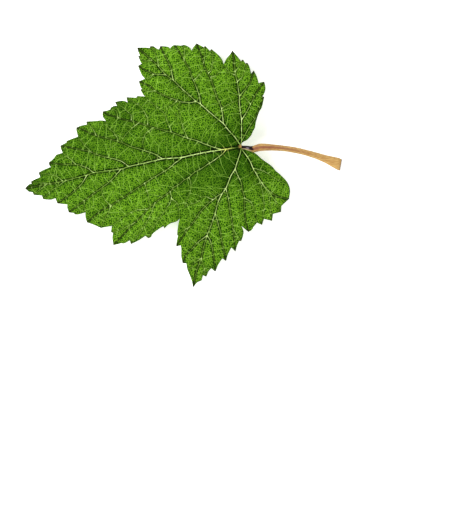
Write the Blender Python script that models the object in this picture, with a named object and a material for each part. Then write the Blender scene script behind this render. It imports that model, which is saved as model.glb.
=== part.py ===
"""A picked blackcurrant leaf, lying face up on a surface.

The blade is one thin body with five lobes and a toothed margin. It is domed from the point where the stalk
joins it down to the tips of its three large lobes, which rest on the surface. Its veins are grooves in the
upper face and ribs on the lower face, and the panels between them are arched. The stalk slopes from that
point down to the surface and ends in the widened foot that sat on the twig.
Metres, +Z up, +X towards the stalk's end, origin in the middle of the bottom of the leaf's box.
"""

import math

import bmesh
import bpy
import numpy as np
from mathutils import Vector
from mathutils.geometry import delaunay_2d_cdt

# Driving dimensions, in metres
MIDRIB_LENGTH = 0.040
BLADE_THICKNESS = 0.0006
DOME_HEIGHT = 0.0050
DOME_SINK = 0.0007
STALK_LENGTH = 0.018
STALK_WIDTH = 0.00125
STALK_GAP = 0.00045

# The blade's folds, arches and veins, in metres
FOLD_RISE = 0.0010
FOLD_REACH = 0.0035
ARCH_RISE = 0.0004
ARCH_REACH = 0.0009
FLATTENED_BELOW = 0.0012
GROOVE_PER_WIDTH = 0.20
RIB_PER_WIDTH = 0.55
VEIN_HALF_SPREAD = 0.55
TIP_TRIM = 0.0006

# How close the mesh points lie, in metres
VEIN_STEP = 0.0010
FLANK_MARGIN = 0.00012
LATTICE_STEP = 0.0015
CLEAR_OF_MARGIN = 0.0006
CLEAR_OF_VEIN = 0.00065
CLEAR_OF_FLANK = 0.00032

# Points read from the photograph by eye, in its pixels, with x to the right and y down
JUNCTION = (241.5, 147.0)
TERMINAL_TIP = (24.8, 188.3)
UPPER_SIDE_TIP = (137.2, 47.4)
LOWER_SIDE_TIP = (193.0, 287.5)
STALK_HEADING = (17.0, 3.0)

# The margin, from the stalk round over the top, lobe by lobe: tooth tips, notches and points between
MARGIN = {
    "upper basal lobe": (
        (241.6, 143.6), (243.4, 142.0), (246.6, 140.6), (249.3, 137.9), (251.4, 135.3), (253.0, 131.5),
        (254.8, 128.3), (256.0, 122.0), (257.6, 116.5), (259.5, 111.5), (261.9, 107.3), (264.2, 97.2),
        (262.4, 96.6), (263.8, 94.6), (265.4, 90.0), (265.2, 86.0), (264.2, 82.0), (260.7, 82.6),
        (258.7, 83.4), (258.1, 81.0), (256.5, 76.0), (253.7, 70.6), (251.1, 73.8), (250.3, 69.7),
        (248.7, 64.9), (247.1, 62.8), (245.4, 63.5), (242.9, 59.4), (241.0, 61.1), (237.8, 56.9),
        (232.4, 50.4), (229.8, 54.7), (226.6, 58.5), (223.7, 64.2),
    ),
    "upper side lobe": (
        (222.3, 60.1), (220.2, 56.9), (217.0, 53.7), (211.4, 48.9), (209.8, 51.0), (207.4, 48.1),
        (205.0, 45.8), (203.9, 47.3), (199.9, 45.1), (196.5, 43.2), (193.3, 47.3), (191.7, 50.6),
        (190.0, 47.8), (186.3, 45.4), (183.1, 44.5), (181.3, 45.4), (174.0, 44.8), (171.4, 46.5),
        (170.0, 48.4), (167.5, 46.5), (160.2, 45.8), (159.0, 49.1), (157.0, 48.6), (153.3, 45.9),
        (150.3, 45.9), (149.3, 47.9), (145.8, 47.3), (137.2, 47.4), (137.8, 50.5), (139.8, 55.4),
        (138.1, 56.1), (140.2, 61.1), (141.6, 63.6), (138.0, 65.7), (138.6, 67.5), (141.5, 74.5),
        (144.9, 78.8), (138.8, 81.4), (141.0, 87.8), (142.5, 89.0), (140.4, 89.7), (143.7, 95.3),
        (145.5, 96.6),
    ),
    "terminal lobe": (
        (137.3, 96.1), (136.4, 97.8), (126.4, 97.2), (127.7, 102.6), (124.5, 101.0), (119.7, 101.0),
        (115.1, 102.1), (117.0, 106.0), (113.8, 106.1), (110.7, 108.0), (110.4, 109.4), (107.4, 110.6),
        (102.9, 111.4), (102.6, 114.9), (103.4, 117.5), (105.9, 121.0), (101.0, 120.5), (95.7, 121.0),
        (86.3, 121.5), (86.9, 124.6), (81.3, 125.6), (76.5, 127.5), (76.5, 130.7), (78.1, 136.6),
        (73.3, 138.4), (66.7, 140.9), (66.4, 142.7), (60.4, 145.6), (60.8, 148.3), (62.6, 152.8),
        (56.3, 154.7), (53.1, 158.9), (48.7, 162.5), (49.3, 165.3), (50.7, 166.9), (44.0, 169.6),
        (38.4, 172.5), (40.0, 177.1), (33.9, 179.7), (30.7, 181.6), (31.4, 183.6), (28.5, 184.5),
        (24.8, 188.3), (28.5, 191.7), (32.6, 192.3), (33.3, 194.7), (37.1, 195.2), (41.7, 195.4),
        (42.9, 199.2), (50.4, 199.7), (55.5, 198.1), (57.3, 203.5), (65.9, 204.3), (67.5, 204.5),
        (67.3, 208.0), (68.8, 212.5), (73.9, 213.1), (74.9, 214.5), (78.7, 214.4), (85.5, 212.4),
        (85.6, 217.5), (87.0, 222.5), (92.6, 224.3), (101.0, 228.0), (106.0, 227.0), (112.0, 225.9),
        (111.0, 232.2), (113.0, 232.9), (112.4, 238.0), (113.4, 245.2), (118.0, 244.2), (121.4, 243.2),
        (123.9, 243.5), (127.0, 242.1), (129.7, 240.3), (131.1, 244.2), (138.3, 240.6), (143.0, 237.6),
        (145.5, 235.9), (148.4, 238.4), (151.3, 236.9), (152.9, 233.7), (159.9, 228.4), (163.6, 226.4),
        (164.4, 228.5), (169.5, 224.1), (176.9, 221.5), (179.6, 218.8),
    ),
    "lower side lobe": (
        (178.3, 224.6), (177.2, 234.0), (178.0, 235.8), (176.8, 241.0), (176.1, 246.5), (180.7, 245.4),
        (181.3, 249.1), (181.2, 256.0), (182.6, 263.3), (186.3, 263.3), (187.2, 269.0), (190.0, 276.0),
        (192.0, 282.0), (193.0, 287.5), (197.0, 282.7), (201.6, 280.6), (203.0, 275.2), (206.3, 276.9),
        (208.5, 271.5), (211.4, 268.3), (215.4, 271.8), (218.3, 264.6), (222.3, 258.5), (226.1, 261.1),
        (227.9, 254.5), (231.4, 247.6), (235.4, 251.5), (237.0, 245.9), (239.1, 241.1), (241.3, 241.0),
        (242.9, 236.3), (243.6, 231.5), (241.8, 226.2),
    ),
    "lower basal lobe": (
        (245.3, 229.5), (248.4, 232.0), (251.9, 229.9), (253.5, 227.0), (257.0, 222.8), (262.0, 225.0),
        (264.0, 219.0), (272.0, 221.0), (273.0, 214.0), (281.0, 212.0), (281.5, 206.0), (289.0, 199.0),
        (290.0, 190.0), (287.0, 182.0), (280.0, 174.5), (276.0, 171.3), (272.0, 166.5), (267.0, 162.3),
        (261.0, 159.7), (256.0, 156.0), (250.0, 153.6), (244.6, 152.4), (241.6, 151.2),
    ),
}

# Widths of a vein where it starts and where it ends, in metres
MAIN = (0.00085, 0.00025)
SIDE = (0.00045, 0.00020)
BRANCH = (0.00028, 0.00016)

# The veins, each from where it leaves its parent to the margin
VEINS = (
    # The midrib and the veins above it
    (MAIN, ((241.5, 147), (233, 148.3), (215, 151), (197, 154.2), (182, 157.5), (162.5, 159), (147, 162.6),
            (121.2, 169.1), (94, 172.7), (62.5, 181.2), (42, 185), (24.8, 188.3))),
    (SIDE, ((221.5, 149), (205, 144.3), (187.7, 138.4), (171.6, 132.5), (153.2, 127.6), (123.3, 119.5),
            (107.2, 114.2), (103, 111.8))),
    (BRANCH, ((171.6, 132.5), (164.4, 114), (151.7, 103.1), (147, 99))),
    (BRANCH, ((147.7, 124.5), (146.3, 115.4), (140.5, 106.6), (126.6, 97.4))),
    (BRANCH, ((131.4, 120.2), (127.1, 111.1), (115.3, 102.3))),
    (BRANCH, ((187.7, 138.4), (179.7, 115.3), (180.3, 101.9))),
    (SIDE, ((162.5, 159), (145.3, 150.9), (127.1, 144.7), (111.7, 139.7), (94.6, 135), (76.7, 127.7))),
    (BRANCH, ((117.5, 141.3), (113.3, 131.9), (106.3, 122))),
    (SIDE, ((128.8, 166.6), (113.8, 158.9), (95, 153.8), (80, 149.5), (60.6, 145.7))),
    (SIDE, ((94, 172.7), (82.9, 166.4), (62.5, 164.3), (48.9, 162.7))),
    (BRANCH, ((62.7, 181.1), (54.1, 175.2), (38.6, 172.6))),
    # The veins below the midrib
    (SIDE, ((226, 150.3), (213, 161.3), (195.5, 171.7), (179.5, 184.3), (165.6, 195.2), (147.4, 209.6),
            (130.4, 227.3), (113.6, 245))),
    (BRANCH, ((147.4, 209.6), (131.8, 212.4), (112.5, 225.5))),
    (BRANCH, ((155, 203), (150, 216), (141, 232), (131.2, 244))),
    (BRANCH, ((170.4, 191.5), (171.5, 199.2), (160, 218), (148.4, 238.2))),
    (BRANCH, ((188.8, 177.6), (190.4, 192.3), (180, 213))),
    (SIDE, ((182, 157.8), (167.2, 169.6), (144.8, 183.2), (123.7, 197.7), (102.9, 209.6), (87.2, 222.3))),
    (BRANCH, ((111, 206), (106, 217), (101.2, 227.8))),
    (SIDE, ((121.2, 169.1), (99.5, 189.5), (82.6, 202.1), (69, 212.3))),
    (SIDE, ((87, 175), (73.3, 192), (57.5, 203.3))),
    (BRANCH, ((66, 180.5), (49.5, 192.5), (43, 199))),
    # The upper side lobe
    (MAIN, ((241.5, 147), (234.9, 137.4), (223.4, 123.8), (205, 108.3), (195.9, 101.4), (181.5, 88.3),
            (166.1, 75), (150.6, 59), (137.2, 47.4))),
    (SIDE, ((223.4, 123.8), (220.5, 105.4), (213.3, 86.7), (204.7, 67), (200.5, 53), (196.6, 43.5))),
    (BRANCH, ((208.5, 73.4), (212.5, 64.9), (211.5, 49.2))),
    (BRANCH, ((210.5, 77.5), (221.3, 69.1), (223.6, 66.5))),
    (SIDE, ((200.5, 104.1), (195.9, 86.2), (189.5, 69.1), (181, 54.7), (175, 45.2))),
    (SIDE, ((172.5, 79.5), (170.6, 67), (160.4, 46.2))),
    (BRANCH, ((158.5, 66.5), (154.5, 52), (150.5, 46.2))),
    (SIDE, ((195.9, 101.4), (180.5, 101.9), (161.8, 94.2), (151.1, 86.7), (139, 81.6))),
    (BRANCH, ((154.9, 91), (147.9, 91.5), (140.6, 89.8))),
    (BRANCH, ((166.1, 75), (153.8, 74.2), (138.2, 65.8))),
    # The upper basal lobe
    (MAIN, ((241.5, 147), (241.5, 133.7), (240.7, 114.5), (239.4, 96.5), (237.5, 83), (234.6, 67),
            (232.4, 50.6))),
    (SIDE, ((239.4, 96.5), (250, 83), (253.7, 70.8))),
    (BRANCH, ((237.3, 82), (243.7, 73.4), (247.1, 63))),
    (SIDE, ((242, 119.5), (250.3, 105), (259, 89), (264, 82.2))),
    (SIDE, ((241.5, 141), (248, 129.5), (255.5, 118), (264, 97.6))),
    # The lower side lobe
    (MAIN, ((241.5, 147), (237.5, 161.3), (231.1, 175.5), (222.1, 193.9), (215.1, 213.6), (207.1, 235.6),
            (201.3, 258.2), (196.5, 271), (193, 287.5))),
    (SIDE, ((222.1, 193.9), (205.3, 206.6), (193.5, 222), (176.3, 246.3))),
    (BRANCH, ((213, 199.6), (199.5, 200.2), (187.5, 205.1), (181.5, 216))),
    (SIDE, ((207.1, 235.6), (190.6, 250.7), (182.7, 263))),
    (SIDE, ((225.8, 188.5), (230.3, 212), (233, 228), (235.4, 251.2))),
    (SIDE, ((215.1, 213.6), (222.4, 244), (226, 260.8))),
    (SIDE, ((207.1, 235.6), (213, 252.3), (215.4, 271.5))),
    # The lower basal lobe
    (SIDE, ((235.1, 169.1), (242.3, 190.1), (244.4, 207.5), (248.3, 231.7))),
    (BRANCH, ((244.5, 198), (252.3, 205.2), (257, 222))),
    (MAIN, ((241.5, 147), (250.3, 161.9), (263.7, 185.6), (276, 197), (289, 199))),
    (BRANCH, ((256, 172), (264, 200), (271.5, 220))),
    (BRANCH, ((263.7, 185.6), (273, 201), (281, 211.5))),
)

# The stalk: share of its length, width and height there as shares of STALK_WIDTH
STALK_SECTIONS = (
    (0.00, 0.74, 0.90), (0.06, 0.86, 0.90), (0.20, 0.84, 0.88), (0.40, 0.82, 0.86), (0.60, 0.84, 0.84),
    (0.74, 0.92, 0.82), (0.84, 1.15, 0.78), (0.92, 1.50, 0.72), (0.97, 1.70, 0.66), (1.00, 1.62, 0.50),
)
STALK_RINGS = 30
STALK_SIDES = 14
STALK_CHANNEL = 0.16
STALK_CHANNEL_SHARPNESS = 6
STALK_FLAT_BOTTOM = 0.82
STALK_TOP_BELOW_BLADE = 0.00005
STALK_SWAY = 0.0012
STALK_SINK = 0.00025

MILLIMETRES = 1000.0
SAME_POINT_MM = 1e-4
METRES_PER_PIXEL = MIDRIB_LENGTH / math.dist(TERMINAL_TIP, JUNCTION)


def placed(pixels):
    """Positions, in metres from the junction, of points read from the photograph."""
    offsets = np.array(pixels, float).reshape(-1, 2) - JUNCTION
    return offsets * (METRES_PER_PIXEL, -METRES_PER_PIXEL)


def lengths_along(line):
    """The distance from the line's start to each of its points."""
    return np.concatenate([[0.0], np.cumsum(np.linalg.norm(np.diff(line, axis=0), axis=1))])


def spaced(line, step):
    """Points evenly along a line, about a step apart."""
    travelled = lengths_along(line)
    count = max(2, round(travelled[-1] / step) + 1)
    wanted = np.linspace(0.0, travelled[-1], count)
    return np.column_stack([np.interp(wanted, travelled, line[:, axis]) for axis in (0, 1)])


def shortened(line, trim):
    """The line without its last stretch."""
    travelled = lengths_along(line)
    end = travelled[-1] - trim
    tip = [np.interp(end, travelled, line[:, axis]) for axis in (0, 1)]
    return np.vstack([line[travelled < end], tip])


class VeinField:
    """The veins as short straight pieces, with the width at both ends of each."""

    def __init__(self, veins):
        starts, ends, widths, mains = [], [], [], []
        for kind, pixels in veins:
            line = placed(pixels)
            travelled = lengths_along(line) / lengths_along(line)[-1]
            width = kind[0] + (kind[1] - kind[0]) * travelled
            starts.append(line[:-1])
            ends.append(line[1:])
            widths.append(np.column_stack([width[:-1], width[1:]]))
            mains.append(np.full(len(line) - 1, kind is MAIN))
        self.starts = np.vstack(starts)
        self.ends = np.vstack(ends)
        self.widths = np.vstack(widths)
        self.mains = np.concatenate(mains)

    def near(self, points):
        """For each point, its distance to every piece and the vein's width there."""
        run = self.ends - self.starts
        offset = points[:, None, :] - self.starts[None, :, :]
        share = np.clip((offset * run).sum(axis=2) / (run * run).sum(axis=1), 0.0, 1.0)
        distance = np.linalg.norm(offset - share[:, :, None] * run[None, :, :], axis=2)
        width = self.widths[:, 0] + share * (self.widths[:, 1] - self.widths[:, 0])
        return distance, width


def dome(points):
    """Height of the plain dome: it falls with the square of the distance along and across the midrib."""
    along_axis = placed(TERMINAL_TIP)[0] / MIDRIB_LENGTH
    across_axis = np.array([along_axis[1], -along_axis[0]])
    along, across = points @ along_axis, points @ across_axis
    falls = []
    for tip in (UPPER_SIDE_TIP, LOWER_SIDE_TIP):
        place = placed(tip)[0]
        fall_along = (place @ along_axis / MIDRIB_LENGTH) ** 2
        falls.append((1.0 - fall_along) / (place @ across_axis) ** 2)
    fall_across = np.where(across > 0.0, falls[0], falls[1])
    return DOME_HEIGHT * (1.0 - (along / MIDRIB_LENGTH) ** 2 - fall_across * across**2)


def lower_face(points, field):
    """Height of the blade's lower face between its veins, never below the surface that the leaf lies on."""
    distance, _ = field.near(points)
    from_main = distance[:, field.mains].min(axis=1)
    from_any = distance.min(axis=1)
    plain = dome(points)
    ease = np.clip(plain / FLATTENED_BELOW, 0.0, 1.0)
    fold = FOLD_RISE * (1.0 - np.exp(-from_main / FOLD_REACH))
    arch = ARCH_RISE * (1.0 - np.exp(-((from_any / ARCH_REACH) ** 2)))
    return np.maximum(plain - DOME_SINK + ease * (fold + arch), 0.0)


def vein_depth(points, field, per_width):
    """How far a vein stands out of the face or cuts into it: a round bump as wide as the vein."""
    distance, width = field.near(points)
    return (per_width * width * np.exp(-((distance / (VEIN_HALF_SPREAD * width)) ** 2))).max(axis=1)


class PointCloud:
    """Mesh points gathered by rank: a later point is kept only where it is clear of all earlier ones."""

    def __init__(self):
        self.points = np.empty((0, 2))
        self.edges = []

    def add_line(self, line, closed=False):
        first = len(self.points)
        self.points = np.vstack([self.points, line])
        indices = list(range(first, len(self.points)))
        self.edges += list(zip(indices, indices[1:]))
        if closed:
            self.edges.append((indices[-1], indices[0]))

    def add_loose(self, points, clear):
        for point in points:
            if (np.linalg.norm(self.points - point, axis=1) > clear).all():
                self.points = np.vstack([self.points, point])


def inside(points, outline):
    """True for each point inside the closed outline: a ray to the right crosses it an odd number of times."""
    ends = np.roll(outline, -1, axis=0)
    x, y = points[:, 0, None], points[:, 1, None]
    spans = (outline[:, 1] > y) != (ends[:, 1] > y)
    rise = np.where(ends[:, 1] == outline[:, 1], 1.0, ends[:, 1] - outline[:, 1])
    crossing = outline[:, 0] + (y - outline[:, 1]) * (ends[:, 0] - outline[:, 0]) / rise
    return (spans & (x < crossing)).sum(axis=1) % 2 == 1


def distance_to_line(points, line):
    """Distance of each point to the closed line."""
    run = np.roll(line, -1, axis=0) - line
    offset = points[:, None, :] - line[None, :, :]
    share = np.clip((offset * run).sum(axis=2) / (run * run).sum(axis=1), 0.0, 1.0)
    return np.linalg.norm(offset - share[:, :, None] * run[None, :, :], axis=2).min(axis=1)


def well_inside(points, outline):
    return points[inside(points, outline) & (distance_to_line(points, outline) > CLEAR_OF_MARGIN)]


def flanks(line, kind):
    """Points on both sides of a vein, just past its edge."""
    run = np.gradient(line, axis=0)
    side = np.column_stack([-run[:, 1], run[:, 0]]) / np.linalg.norm(run, axis=1)[:, None]
    share = lengths_along(line) / lengths_along(line)[-1]
    reach = (kind[0] + (kind[1] - kind[0]) * share)[:, None] + FLANK_MARGIN
    return np.vstack([line + side * reach, line - side * reach])


def lattice(outline):
    """An even triangular lattice over the blade."""
    low, high = outline.min(axis=0), outline.max(axis=0)
    row_step = LATTICE_STEP * math.sqrt(3.0) / 2.0
    rows = []
    for number, y in enumerate(np.arange(low[1], high[1], row_step)):
        x = np.arange(low[0] + (number % 2) * LATTICE_STEP / 2.0, high[0], LATTICE_STEP)
        rows.append(np.column_stack([x, np.full_like(x, y)]))
    return np.vstack(rows)


def blade_net(outline):
    """The blade's flat net of triangles, with the margin and every vein among its edges."""
    cloud = PointCloud()
    cloud.add_line(outline, closed=True)
    lines = []
    for kind, pixels in VEINS:
        line = spaced(shortened(placed(pixels), TIP_TRIM), VEIN_STEP)
        lines.append((kind, line))
        cloud.add_line(line)
    for kind, line in lines:
        cloud.add_loose(well_inside(flanks(line, kind), outline), CLEAR_OF_FLANK)
    cloud.add_loose(well_inside(lattice(outline), outline), CLEAR_OF_VEIN)
    corners = [Vector(point) for point in cloud.points * MILLIMETRES]
    rim = list(range(len(outline)))
    inside_constraints = 1
    net = delaunay_2d_cdt(corners, cloud.edges, [rim], inside_constraints, SAME_POINT_MM)
    points = np.array([tuple(corner) for corner in net[0]]) / MILLIMETRES
    middles = np.array([points[list(face)].mean(axis=0) for face in net[2]])
    kept = inside(middles, outline)
    return points, [list(face) for face, keep in zip(net[2], kept) if keep]


def make_blade(collection, material):
    """The blade: the net lifted to its lower face, then raised by its thickness as one closed body."""
    outline = placed([point for lobe in MARGIN.values() for point in lobe])
    points, faces = blade_net(outline)
    field = VeinField(VEINS)
    plain = lower_face(points, field)
    low = np.maximum(plain - vein_depth(points, field, RIB_PER_WIDTH), 0.0)
    high = plain + BLADE_THICKNESS - vein_depth(points, field, GROOVE_PER_WIDTH)

    shape = bmesh.new()
    level = shape.verts.layers.float.new("level")
    corners = [shape.verts.new((x, y, z)) for (x, y), z in zip(points, low)]
    for corner, z in zip(corners, high):
        corner[level] = z
    for face in faces:
        shape.faces.new([corners[index] for index in face])
    loose = [corner for corner in corners if not corner.link_faces]
    bmesh.ops.delete(shape, geom=loose, context="VERTS")
    raised = bmesh.ops.extrude_face_region(shape, geom=list(shape.faces), use_keep_orig=True)
    for element in raised["geom"]:
        if isinstance(element, bmesh.types.BMVert):
            element.co.z = element[level]
    face_outwards(shape)
    return finished("leaf_blade", shape, collection, material)


def stalk_notch():
    """Middle of the blade's edge where the stalk leaves it."""
    return placed([MARGIN["upper basal lobe"][0], MARGIN["lower basal lobe"][-1]]).mean(axis=0)


def stalk_path(shares, start_height):
    """Middle of the stalk's underside: a gentle bow in plan, easing from the blade down to the surface."""
    heading = np.array(STALK_HEADING) * (1.0, -1.0)
    heading = heading / np.linalg.norm(heading)
    aside = np.array([-heading[1], heading[0]])
    start = stalk_notch() + heading * STALK_GAP
    bow = STALK_SWAY * np.sin(math.pi * shares)
    plan = start + np.outer(shares * STALK_LENGTH, heading) + np.outer(bow, aside)
    easing = shares**2 * (3.0 - 2.0 * shares)
    height = (start_height + STALK_SINK) * (1.0 - easing) - STALK_SINK
    return plan, np.maximum(height, 0.0), aside


def top_near(blade, place):
    """Height of the blade's upper face at its corner nearest to a place."""
    corners = np.array([tuple(vertex.co) for vertex in blade.data.vertices])
    away = np.linalg.norm(corners[:, :2] - place, axis=1)
    return corners[np.isclose(away, away.min()), 2].max()


def make_stalk(collection, material, blade):
    """The stalk: rings with a channel along the top, carried along the path, with a flat foot."""
    shares = np.linspace(0.0, 1.0, STALK_RINGS)
    table = np.array(STALK_SECTIONS)
    width = STALK_WIDTH * np.interp(shares, table[:, 0], table[:, 1])
    height = STALK_WIDTH * np.interp(shares, table[:, 0], table[:, 2])
    start_height = top_near(blade, stalk_notch()) - STALK_TOP_BELOW_BLADE - height[0]
    plan, underside, aside = stalk_path(shares, start_height)

    turn = np.linspace(0.0, 2.0 * math.pi, STALK_SIDES, endpoint=False) - math.pi / 2.0
    across, up = np.cos(turn), np.sin(turn)
    dent = STALK_CHANNEL * np.clip(up, 0.0, 1.0) ** STALK_CHANNEL_SHARPNESS
    flat = np.clip(up - dent, -STALK_FLAT_BOTTOM, 1.0)
    rise = (flat + STALK_FLAT_BOTTOM) / (1.0 + STALK_FLAT_BOTTOM)
    shape = bmesh.new()
    rings = []
    for centre, base, wide, tall in zip(plan, underside, width, height):
        ring = []
        for share_across, share_up in zip(across, rise):
            x, y = centre + aside * share_across * wide / 2.0
            ring.append(shape.verts.new((x, y, base + share_up * tall)))
        rings.append(ring)
    for ring, following in zip(rings, rings[1:]):
        for side in range(STALK_SIDES):
            other = (side + 1) % STALK_SIDES
            shape.faces.new((ring[side], ring[other], following[other], following[side]))
    shape.faces.new(list(reversed(rings[0])))
    shape.faces.new(rings[-1])
    face_outwards(shape)
    return finished("leaf_stalk", shape, collection, material)


def face_outwards(shape):
    """Turns a closed shape whose faces agree with each other the right way out."""
    if shape.calc_volume(signed=True) < 0.0:
        bmesh.ops.reverse_faces(shape, faces=list(shape.faces))


def finished(name, shape, collection, material):
    """The bmesh as a smooth-shaded object with its material."""
    mesh = bpy.data.meshes.new(name)
    shape.to_mesh(mesh)
    shape.free()
    mesh.materials.append(material)
    mesh.shade_smooth()
    piece = bpy.data.objects.new(name, mesh)
    collection.objects.link(piece)
    return piece


def plain_material(name, colour, roughness):
    material = bpy.data.materials.new(name)
    material.use_nodes = True
    shader = material.node_tree.nodes["Principled BSDF"]
    shader.inputs["Base Color"].default_value = (*colour, 1.0)
    shader.inputs["Roughness"].default_value = roughness
    shader.inputs["Metallic"].default_value = 0.0
    return material


def centre_on_box(pieces):
    """Moves the pieces so that the origin is in the middle of the bottom of their box."""
    corners = np.array([tuple(vertex.co) for piece in pieces for vertex in piece.data.vertices])
    low, high = corners.min(axis=0), corners.max(axis=0)
    for piece in pieces:
        piece.location = (-(low[0] + high[0]) / 2.0, -(low[1] + high[1]) / 2.0, -low[2])


def main():
    for old in list(bpy.data.objects):
        bpy.data.objects.remove(old, do_unlink=True)
    collection = bpy.data.collections.new("blackcurrant_leaf")
    bpy.context.scene.collection.children.link(collection)
    green = plain_material("leaf_green", (0.10, 0.23, 0.03), 0.50)
    purple_brown = plain_material("stalk_brown", (0.33, 0.16, 0.07), 0.45)
    blade = make_blade(collection, green)
    stalk = make_stalk(collection, purple_brown, blade)
    centre_on_box([blade, stalk])


main()
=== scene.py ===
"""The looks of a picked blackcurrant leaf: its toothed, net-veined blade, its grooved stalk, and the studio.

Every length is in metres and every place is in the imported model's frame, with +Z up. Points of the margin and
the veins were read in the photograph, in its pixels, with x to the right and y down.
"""

from __future__ import annotations

import logging
import math
from dataclasses import dataclass, field
from enum import Enum, IntEnum

import bpy
import numpy as np
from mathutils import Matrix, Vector
from mathutils.geometry import delaunay_2d_cdt


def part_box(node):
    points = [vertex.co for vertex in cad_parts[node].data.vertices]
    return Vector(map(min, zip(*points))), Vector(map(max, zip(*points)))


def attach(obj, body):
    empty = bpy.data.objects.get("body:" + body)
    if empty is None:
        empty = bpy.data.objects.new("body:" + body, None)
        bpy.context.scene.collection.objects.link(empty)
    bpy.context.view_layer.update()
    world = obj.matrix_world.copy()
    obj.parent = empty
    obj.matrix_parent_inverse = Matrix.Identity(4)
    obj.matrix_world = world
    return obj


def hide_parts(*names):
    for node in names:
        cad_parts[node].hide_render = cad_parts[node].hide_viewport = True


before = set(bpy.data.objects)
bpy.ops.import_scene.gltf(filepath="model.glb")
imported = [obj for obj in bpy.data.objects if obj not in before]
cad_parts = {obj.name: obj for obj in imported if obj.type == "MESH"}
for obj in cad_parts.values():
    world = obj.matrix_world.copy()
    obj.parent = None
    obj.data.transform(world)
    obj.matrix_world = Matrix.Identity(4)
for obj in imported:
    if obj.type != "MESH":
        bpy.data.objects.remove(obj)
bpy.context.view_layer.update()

log = logging.getLogger("leaf")

Pair = tuple[float, float]
Pixels = tuple[Pair, ...]
Colour = tuple[float, float, float]
Patchiness = tuple[float, float, float, float, float]
Mesh = tuple[np.ndarray, np.ndarray]

PICTURE_SIZE = (474, 511)
MIDRIB_LENGTH = 0.040
JUNCTION = (241.5, 147.0)
TERMINAL_TIP = (24.8, 188.3)
UPPER_SIDE_TIP = (137.2, 47.4)
LOWER_SIDE_TIP = (193.0, 287.5)
HIGHEST_TOOTH = (196.5, 43.2)
STALK_HEADING = (17.0, 3.0)

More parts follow.
